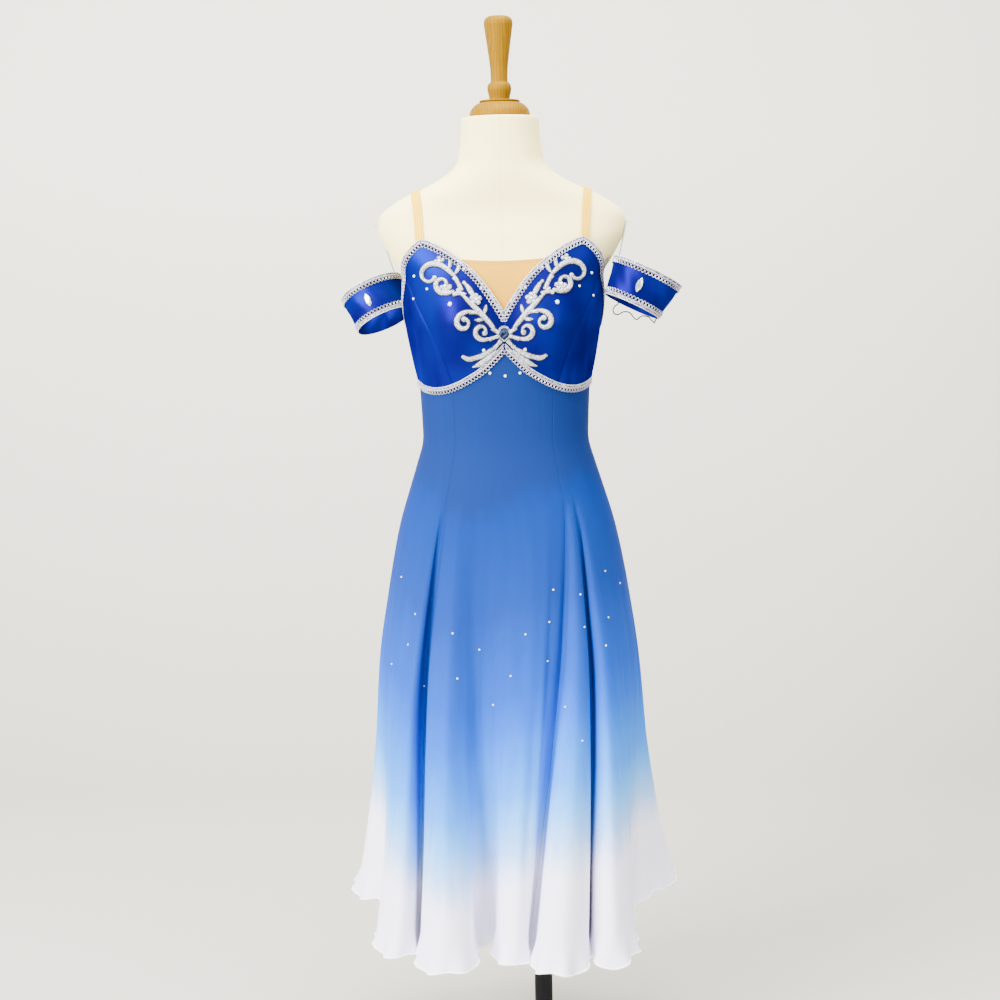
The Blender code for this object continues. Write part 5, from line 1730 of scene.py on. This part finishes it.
def scroll_line(x, z, heading, length, bend_start, bend_end, steps):
    """x, z and direction along a curl whose bend changes evenly: its direction adds up its bends so far."""
    run = np.linspace(0, length, steps + 1)
    turned = math.radians(heading) + bend_start * run + (bend_end - bend_start) * run**2 / (2 * length)
    middle = (turned[1:] + turned[:-1]) / 2
    px = x + np.concatenate([[0.0], np.cumsum(np.cos(middle) * length / steps)])
    pz = z + np.concatenate([[0.0], np.cumsum(np.sin(middle) * length / steps)])
    return px, pz, turned


SCROLL_STEPS = 56
SCROLL_SWELL = 1.12
SCROLL_HEIGHT = 0.0030
SMALL_STEPS = 20
SMALL_HEIGHT = 0.0024
BUTTON_RADIUS = 0.0040
BUTTON_HEIGHT = 0.0032


def add_scroll(piece, side, scroll, kind="scroll", height=SCROLL_HEIGHT, steps=SCROLL_STEPS):
    """A raised stroke between two cords of painted shadow, which swells and tapers along its length."""
    x, z, heading, length, bend_start, bend_end, width = scroll
    px, pz, turned = scroll_line(x, z, heading, length, bend_start, bend_end, steps)
    s = np.linspace(0, 1, steps + 1)
    width = width * SCROLL_SWELL
    if kind == "leaf":
        half = width / 2 * np.sin(math.pi * np.clip(s, 0.015, 0.985)) ** 0.75
    elif kind == "link":
        half = width / 2 * (0.75 + 0.25 * np.abs(2 * s - 1))
    else:
        half = width / 2 * (0.50 + 0.50 * np.sin(math.pi * np.clip(s * 1.25, 0, 1)) ** 0.7)
        half = np.where(s > 0.8, width / 2 * (0.50 + 0.15 * np.sin(math.pi * (s - 0.8) / 0.4)), half)
        half = half * np.clip(np.minimum(s, 1 - s) / 0.02, 0.4, 1) ** 0.5
    across = np.linspace(-1, 1, 9)[:, None]
    grid_x = side * (px - np.sin(turned) * half * across)
    grid_z = pz + np.cos(turned) * half * across
    points, normals = on_cup(grid_x, grid_z)
    ends = np.clip(np.minimum(s, 1 - s) / 0.05, 0.2, 1) ** 0.5
    crown = 0.0006 + height * np.sqrt(1 - (across * 0.97) ** 2) * ends
    piece.wall(points, normals, SATIN_WALL + 0.0002, SATIN_WALL + crown)
    # Painted shadow: a dark cord along each edge stands for the shade where the stroke meets the satin.
    for edge in (0, -1):
        out = unit(points[edge] - points[len(across) // 2])
        line = points[edge] + normals[edge] * (SATIN_WALL + SHADOW_CORD_RADIUS) + out * 0.0006
        piece.tube(line, SHADOW_CORD_RADIUS, sides=6, finish=1)


def upright_axes(normals):
    """Right, up and out at points that have those normals."""
    right = unit(np.cross(np.broadcast_to([0.0, 0.0, 1.0], normals.shape), normals))
    return np.stack([right, np.cross(normals, right), normals], axis=-2)


def stone_axes(x, z):
    """Points, normals and axes of stones that lie on the garment at x and z, in front."""
    points, normals = on_cup(x, z)
    return points, normals, upright_axes(normals)


def add_buttons(piece, side, x, z, radius):
    """Domes of beading, each in a dark ring of painted shadow: the round ends of curls and the petals of
    flowers.
    """
    x, z = np.atleast_1d(x), np.atleast_1d(z)
    points, normals, axes = stone_axes(side * x, z)
    size = (radius, radius, BUTTON_HEIGHT)
    piece.scatter(ball(14, 8), points + normals * (SATIN_WALL + 0.0004), axes, size)
    piece.scatter(hoop(0.15, 18, 5), points + normals * (SATIN_WALL + 0.0008), axes, radius * 1.03, finish=1)


def add_flower(piece, side, x, z, radius, first, sweep, petals):
    """Petals fanned about a point from a first heading over a sweep, with a pearl at their middle."""
    around = np.radians(first + sweep * np.arange(petals) / petals)
    reach = radius * 0.66
    add_buttons(piece, side, x + reach * np.cos(around), z + reach * np.sin(around), radius * 0.46)
    points, normals, axes = stone_axes(np.array([side * x]), np.array([z]))
    middle = points + normals * (SATIN_WALL + 0.0024)
    piece.scatter(ball(12, 8), middle, axes, (0.0024, 0.0024, 0.0020), finish=2)


LINKS = [
    # x, z, heading, length, bend at the start, bend at the end, width: strokes that join the scrolls
    (0.0070, 1.1535, 24.0, 0.0130, 20.0, 40.0, 0.0056),
    (0.0600, 1.2130, 74.0, 0.0230, -10.0, -30.0, 0.0058),
    (0.0545, 1.2065, 34.0, 0.0185, -50.0, -70.0, 0.0054),
    (0.0330, 1.1810, 14.0, 0.0170, -10.0, -20.0, 0.0052),
    (0.0070, 1.1490, -14.0, 0.0160, -10.0, 0.0, 0.0054),
    (0.0050, 1.1420, -52.0, 0.0150, 10.0, 20.0, 0.0056),
]
LEAVES = [
    # x, z, heading, length, bend at the start, bend at the end, width: small leaves off the scrolls
    (0.0300, 1.1790, 118.0, 0.0150, -20.0, -40.0, 0.0044),
    (0.0690, 1.2360, 128.0, 0.0170, -20.0, -60.0, 0.0046),
    (0.0280, 1.1740, -20.0, 0.0150, 20.0, 60.0, 0.0044),
    (0.0770, 1.2430, 104.0, 0.0150, -10.0, -60.0, 0.0046),
    (0.0120, 1.1290, -50.0, 0.0430, 8.0, 20.0, 0.0080),
    (0.0400, 1.1180, -18.0, 0.0200, 20.0, 70.0, 0.0058),
]
FLOWERS = [
    # x, z, radius, first heading, sweep, petals
    (0.0400, 1.2010, 0.0080, 20.0, 360.0, 5),
    (0.0820, 1.2200, 0.0088, 190.0, 200.0, 4),
    (0.0905, 1.2560, 0.0070, 0.0, 240.0, 3),
]
CUP_STONES = [
    # x, z, radius share of the single stones sewn between the scrolls
    (0.0200, 1.1660, 0.9),
    (0.0300, 1.1290, 1.2),
    (0.0760, 1.1950, 1.6),
    (0.0320, 1.2170, 1.0),
    (0.0560, 1.2440, 1.0),
    (0.1090, 1.2170, 1.0),
    (0.1280, 1.2360, 1.1),
    (0.1300, 1.2030, 0.9),
]


class DRESS_OT_scrolls(DressOperator, bpy.types.Operator):
    """Sews the raised, beaded scrolls, leaves and rosettes on each cup"""

    bl_idname = "dress.scrolls"
    bl_label = "Scrolls"

    def execute(self, context):
        finishes = [beaded_white, dark_cord, pearl]
        for side, letter in ((-1, "l"), (1, "r")):
            for name, *scroll in SCROLLS:
                stroke = Shape()
                add_scroll(stroke, side, scroll)
                if "curl" in name or name == "crown":
                    px, pz, _ = scroll_line(*scroll[:6], SCROLL_STEPS)
                    add_buttons(stroke, side, px[-1], pz[-1], BUTTON_RADIUS)
                node = f"scroll_{name}_{letter}"
                stroke.make(f"{node}_beaded", finishes, [node], "beaded_scroll", sharp=70)
            small = Shape()
            for kind, strokes in (("link", LINKS), ("leaf", LEAVES)):
                for stroke in strokes:
                    add_scroll(small, side, stroke, kind, SMALL_HEIGHT, SMALL_STEPS)
            for flower in FLOWERS:
                add_flower(small, side, *flower)
            small.make(f"leaves_and_flowers_{letter}", finishes, slot="beaded_scroll", sharp=70)
        return {"FINISHED"}


def drop_outline(turn):
    """A pear with its point down: a circle whose sides run in as they go below the middle."""
    x, y = np.cos(turn), np.sin(turn)
    narrow = np.where(y < 0, 1 - 0.34 * y**2 - 0.30 * np.abs(y) ** 5, 1.0)
    return x * narrow, y


def round_drop(turn, seat, axes, outside, above):
    """Points round the drop stone, so far outside its outline and above its seat."""
    x, y = drop_outline(turn)
    line = seat + axes[0] * (x * (CENTRE_STONE[0] + outside))[:, None]
    return line + axes[1] * (y * (CENTRE_STONE[1] + outside))[:, None] + axes[2] * above


def pointed_outline(turn):
    """A boat shape, pointed at both ends."""
    return np.sign(np.cos(turn)) * np.abs(np.cos(turn)) ** 1.5, np.sin(turn)


class DRESS_OT_stones(DressOperator, bpy.types.Operator):
    """Sets the drop stone between the cups and the pointed stone on each armband, in silver rims"""

    bl_idname = "dress.stones"
    bl_label = "Stones"

    def execute(self, context):
        points, normals, axes = stone_axes(np.array([0.0]), np.array([CENTRE_STONE_Z]))
        seat = points + normals * (SATIN_WALL + STONE_SEAT)
        stone = Shape()
        size = (*CENTRE_STONE, CENTRE_STONE_HEIGHT)
        stone.scatter(cut_stone(16, drop_outline), seat + normals * STONE_SEAT, axes, size)
        stone.make("drop_stone", [smoke_crystal], ["centre_stone"], "crystal", sharp=8)
        rim = Shape()
        turn = np.linspace(0, 2 * math.pi, 96, endpoint=False)
        line = round_drop(turn, seat, axes[0], 0.0006, 0.0010)
        rim.tube(line, RIM_RADIUS, sides=8, closed=True, reference=axes[0, 2])
        rim.scatter(ball(8, 5), round_drop(turn[::3], seat, axes[0], 0.0021, 0.0006), axes[0], RIM_BEAD)
        rim.make("drop_stone_rim", [silver_thread, pearl], slot="silver_braid", sharp=60)
        for letter in ARMBANDS:
            turn, reach = math.radians(BAND_STONE_TURNS[letter]), BAND_STONE[1]
            (foot, outward), (head, _) = (band_surface(letter, turn, h) for h in (-reach, reach))
            up = unit(head - foot)
            across = unit(np.cross(up, outward))
            normal = np.cross(across, up)
            seat = (foot + head) / 2 + normal * (BAND_WALL + STONE_SEAT)
            stone = Shape()
            axes = np.array([across, up, normal])
            size = (*BAND_STONE, BAND_STONE_HEIGHT)
            stone.scatter(cut_stone(12, pointed_outline), seat[None], axes, size)
            node = f"armband_stone_{letter}"
            stone.make(f"{node}_cut", [crystal], [node], "crystal", sharp=8)
        return {"FINISHED"}


SKIRT_STONES = [
    # x, height of the stones sewn on the front of the skirt
    (-0.160, 0.790),
    (-0.138, 0.742),
    (-0.150, 0.702),
    (-0.176, 0.664),
    (-0.128, 0.640),
    (-0.082, 0.722),
    (-0.076, 0.655),
    (-0.045, 0.696),
    (-0.026, 0.620),
    (0.002, 0.664),
    (0.026, 0.722),
    (0.052, 0.676),
    (0.058, 0.735),
    (0.064, 0.775),
    (0.078, 0.612),
    (0.104, 0.772),
    (0.108, 0.727),
    (0.114, 0.674),
    (0.142, 0.800),
    (0.146, 0.738),
    (0.140, 0.694),
    (0.166, 0.776),
    (0.102, 0.566),
]
APEX_STONES = [
    # x, height of the three stones below the peak of the underbust
    (-0.0215, 1.0950),
    (0.0005, 1.0905),
    (0.0220, 1.0945),
]


class DRESS_OT_rhinestones(DressOperator, bpy.types.Operator):
    """Sews the small stones on the cups, below the peak of the underbust and on the front of the skirt"""

    bl_idname = "dress.rhinestones"
    bl_label = "Rhinestones"

    def execute(self, context):
        sizes = context.scene.dress_sizes
        radius = sizes.rhinestone
        stones = Shape()
        cups = np.array([(side * x, z, share) for side in (-1, 1) for x, z, share in CUP_STONES])
        points, normals, axes = stone_axes(cups[:, 0], cups[:, 1])
        size = radius * cups[:, 2:] * np.array([1.0, 1.0, 0.9])
        stones.scatter(ball(12, 8), points + normals * (SATIN_WALL + 0.0004), axes, size)
        apex = np.array(APEX_STONES)
        points, normals, axes = stone_axes(apex[:, 0], apex[:, 1])
        stones.scatter(ball(12, 8), points + normals * CREPE_WALL, axes, radius * np.array([1.1, 1.1, 0.9]))
        grid, outward, _ = fine_skirt(sizes)
        front = grid[..., 1] < 0
        found = []
        for x, z in SKIRT_STONES:
            apart = np.where(front, np.hypot(grid[..., 0] - x, grid[..., 2] - z), 9.0)
            found.append(np.unravel_index(apart.argmin(), apart.shape))
        rows, columns = np.array(found).T
        points, normals = grid[rows, columns], outward[rows, columns]
        flat = radius * np.array([0.75, 0.75, 0.6])
        stones.scatter(ball(10, 6), points + normals * CREPE_WALL, upright_axes(normals), flat)
        stones.make("small_stones", [pearl], slot="crystal", sharp=60)
        return {"FINISHED"}


# Armband hangers.


def loop_route(top, bottom):
    """A flat loop of elastic from a pin at the top down to an edge, and the direction across its plane."""
    way = unit(bottom - top)
    back = np.array([0.0, 1.0, 0.0])
    wide = unit(back - way * (back @ way))
    grip = PIN_SHAFT_RADIUS + LOOP_RADIUS + PIN_CLEARANCE
    turn = np.linspace(0, math.pi, 12)[:, None]
    over = top - way * grip * np.sin(turn) + wide * grip * np.cos(turn)
    low = bottom - way * (grip + LOOP_RADIUS + LOOP_GAP)
    under = low + way * grip * np.sin(turn) - wide * grip * np.cos(turn)
    share = np.linspace(0, 1, 12)[1:-1, None]
    down = over[-1] + (under[0] - over[-1]) * share
    up = under[-1] + (over[0] - under[-1]) * share
    return np.concatenate([over, down, under, up]), np.cross(way, wide)


class DRESS_OT_hangers(DressOperator, bpy.types.Operator):
    """Hangs each armband from its shoulder pin by a clear elastic loop"""

    bl_idname = "dress.hangers"
    bl_label = "Armband loops and pins"

    def execute(self, context):
        for letter in ARMBANDS:
            turned, height = SHOULDER_PINS[letter]
            angle, height = np.radians(turned), np.array(height)
            middle = form_point(angle, height) + normal_of(form_point, angle, height) * PIN_LOOP_PLACE
            rim = band_surface(letter, np.radians(LOOP_TURNS[letter]), BAND_HEIGHT / 2)[0]
            route, across = loop_route(middle, rim)
            loop = Shape()
            loop.tube(route, LOOP_RADIUS, sides=10, closed=True, reference=across)
            node = f"armband_loop_{letter}"
            loop.make(f"{node}_elastic", [clear_elastic], [node], "clear_elastic", sharp=80)
            dress_node(f"shoulder_pin_{letter}", pin_steel)
        return {"FINISHED"}


def dress_node(name, maker):
    """Gives a CAD node that stays in sight its finish."""
    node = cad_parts[name]
    for place in node.material_slots:
        place.material = finish_of(maker)
    if not node.material_slots:
        node.data.materials.append(finish_of(maker))


class DRESS_OT_loose_elastic(DressOperator, bpy.types.Operator):
    """Hangs the loose brown elastic below the armband at +X: a rubber core in a cover of wound thread"""

    bl_idname = "dress.loose_elastic"
    bl_label = "Loose elastic"

    def execute(self, context):
        ends = []
        for turn in np.radians(ELASTIC_TURNS):
            rim, out = band_surface("r", turn, ELASTIC_CATCH - BAND_HEIGHT / 2)
            ends.append(rim - out * (ELASTIC_RADIUS + 0.0005))
        route = smooth_route([ends[0], *ELASTIC_ROUTE, ends[1]], 8)
        cord = Shape()
        cord.tube(route, ELASTIC_RADIUS + ELASTIC_COVER, sides=10)
        piece = cord.make("loose_elastic_cord", [brown_elastic], ["loose_elastic"], "brown_elastic", sharp=80)
        return {"FINISHED"}


class DRESS_OT_form(DressOperator, bpy.types.Operator):
    """Builds the dress form: jersey torso, turned wooden cap and finial, post, collar and base"""

    bl_idname = "dress.form"
    bl_label = "Dress form"

    def execute(self, context):
        between = [(z, 1.0) for z in np.linspace(0.752, 1.461, 170)]
        heights, shrink = np.array([*TORSO_FOOT, *between, *TORSO_HEAD]).T
        angle = np.linspace(-math.pi, math.pi, 144, endpoint=False)
        points = form_point(angle[None, :], heights[:, None])
        centre = np.array([0.0, POST_Y, 0.0])
        spread = np.stack([shrink, shrink, np.ones_like(shrink)], axis=-1)[:, None, :]
        points = centre + (points - centre) * spread
        poles = [points[0].mean(axis=0), points[-1].mean(axis=0)]
        torso = Shape()
        torso.add(np.concatenate([points.reshape(-1, 3), poles]), stack_faces(len(heights), len(angle)))
        torso.make("form_torso_jersey", [form_jersey], ["form_torso"], "form_cloth", sharp=50)
        cap = smooth_route(CAP_PROFILE, TURNING_STEPS)
        finial = np.concatenate([FINIAL_BASE, smooth_route(FINIAL_PROFILE, TURNING_STEPS)])
        neck, post = (0.0, 0.0), (POST_X, POST_Y)
        length = [(POST_RADIUS, POST_BOTTOM), (POST_RADIUS, TORSO_BOTTOM - PART_GAP)]
        spun = [
            # node, end of the piece's name, profile, middle, height of its foot, sides, finish, slot
            ("form_neck_cap", "turned", cap, neck, NECK_TOP, 72, varnished_wood, "turned_wood"),
            ("form_finial", "turned", finial, neck, NECK_TOP + CAP_HEIGHT, 72, varnished_wood, "turned_wood"),
            ("stand_post", "tube", length, post, 0.0, 48, black_metal, "black_metal"),
            ("stand_base", "plate", BASE_PROFILE, post, 0.0, 128, black_metal, "black_metal"),
        ]
        for node, ending, profile, middle, foot, sides, maker, slot in spun:
            solid = Shape()
            solid.spin(profile, *middle, foot, sides)
            solid.make(f"{node}_{ending}", [maker], [node], slot)
        dress_node("stand_collar", black_metal)
        return {"FINISHED"}


# Backdrop: how far behind the form the floor starts to bend, how round it bends, and the top of its wall.
BEND_START = 1.4
BEND_RADIUS = 1.2
WALL_TOP = 4.5


class DRESS_OT_stage(DressOperator, bpy.types.Operator):
    """Sets the camera, the soft studio light and a pale floor, darker near the ground as painted shade, that
    curves up into the backdrop
    """

    bl_idname = "dress.stage"
    bl_label = "Stage"

    def execute(self, context):
        stage = context.scene.dress_stage
        lens = bpy.data.cameras.new("camera")
        camera = bpy.data.objects.new("camera", lens)
        context.scene.collection.objects.link(camera)
        camera.location = (stage.camera_x, -stage.camera_distance, stage.camera_height)
        camera.rotation_euler = (math.pi / 2 - stage.tilt, 0.0, 0.0)
        camera.rotation_euler.rotate_axis("Z", stage.roll)
        lens.sensor_width = 36.0
        lens.lens = stage.lens
        context.scene.camera = camera
        lights = [
            # name, watts, width, height, place, aim
            ("key_light", stage.key, 2.4, 2.6, (-3.0, -2.6, 2.5), (0.0, 0.0, 0.95)),
            ("fill_light", stage.fill, 2.0, 2.4, (2.6, -2.6, 1.4), (0.0, 0.0, 0.85)),
            ("top_light", stage.top, 2.2, 1.4, (0.2, -0.5, 3.2), (0.0, 0.0, 1.1)),
        ]
        for name, watts, width, height, place, aim in lights:
            light = bpy.data.lights.new(name, "AREA")
            light.shape = "RECTANGLE"
            light.size, light.size_y, light.energy = width, height, watts
            lamp = bpy.data.objects.new(name, light)
            context.scene.collection.objects.link(lamp)
            lamp.location = place
            away = np.array(place) - np.array(aim)
            flat = math.hypot(away[0], away[1])
            lamp.rotation_euler = (math.atan2(flat, away[2]), 0.0, math.atan2(away[0], -away[1]))
        world = bpy.data.worlds.new("white_room")
        context.scene.world = world
        world.use_nodes = True
        world.node_tree.nodes["Background"].inputs["Color"].default_value = (1.0, 0.995, 0.985, 1.0)
        world.node_tree.nodes["Background"].inputs["Strength"].default_value = stage.world
        bend = np.radians(np.linspace(0, 90, 33))
        wall = BEND_START + BEND_RADIUS
        y = np.concatenate([[-5.0, -2.0, 0.0], BEND_START + BEND_RADIUS * np.sin(bend), [wall, wall]])
        z = np.concatenate([[0.0, 0.0, 0.0], BEND_RADIUS - BEND_RADIUS * np.cos(bend), [2.6, WALL_TOP]])
        x = np.linspace(-5, 5, 9)
        points = np.stack([x[None, :] + 0 * y[:, None], y[:, None] + 0 * x, z[:, None] + 0 * x], axis=-1)
        rows, columns = grid_quads(len(y), len(x))
        mesh = bpy.data.meshes.new("floor")
        mesh.from_pydata(points.reshape(-1, 3).tolist(), [], (rows * len(x) + columns).tolist())
        mesh.shade_smooth()
        mesh.materials.append(finish_of(studio_paper))
        floor = bpy.data.objects.new("floor", mesh)
        context.scene.collection.objects.link(floor)
        return {"FINISHED"}


class DRESS_PT_panel(bpy.types.Panel):
    """Sizes, colours and the pieces of the dress"""

    bl_idname = "DRESS_PT_panel"
    bl_label = "Dance dress"
    bl_space_type = "VIEW_3D"
    bl_region_type = "UI"
    bl_category = "Dress"

    def draw(self, context):
        for group in (context.scene.dress_sizes, context.scene.dress_colours, context.scene.dress_stage):
            box = self.layout.box()
            for key in group.__annotations__:
                box.prop(group, key)
        for operator in OPERATORS:
            self.layout.operator(operator.bl_idname)


OPERATORS = [
    DRESS_OT_stage,
    DRESS_OT_loose_elastic,
    DRESS_OT_form,
    DRESS_OT_skirt,
    DRESS_OT_bodice,
    DRESS_OT_net,
    DRESS_OT_straps,
    DRESS_OT_braids,
    DRESS_OT_armbands,
    DRESS_OT_scrolls,
    DRESS_OT_stones,
    DRESS_OT_rhinestones,
    DRESS_OT_hangers,
]
CLASSES = [DressSizes, DressColours, DressStage, *OPERATORS, DRESS_PT_panel]


def register():
    for cls in CLASSES:
        bpy.utils.register_class(cls)
    bpy.types.Scene.dress_sizes = PointerProperty(type=DressSizes)
    bpy.types.Scene.dress_colours = PointerProperty(type=DressColours)
    bpy.types.Scene.dress_stage = PointerProperty(type=DressStage)


def unregister():
    del bpy.types.Scene.dress_sizes, bpy.types.Scene.dress_colours, bpy.types.Scene.dress_stage
    for cls in reversed(CLASSES):
        bpy.utils.unregister_class(cls)


def main():
    register()
    bpy.ops.dress.stage()
    bpy.ops.dress.loose_elastic()
    bpy.ops.dress.form()
    bpy.ops.dress.skirt()
    bpy.ops.dress.bodice()
    bpy.ops.dress.net()
    bpy.ops.dress.straps()
    bpy.ops.dress.braids()
    bpy.ops.dress.armbands()
    bpy.ops.dress.scrolls()
    bpy.ops.dress.stones()
    bpy.ops.dress.rhinestones()
    bpy.ops.dress.hangers()


if __name__ == "__main__":
    main()
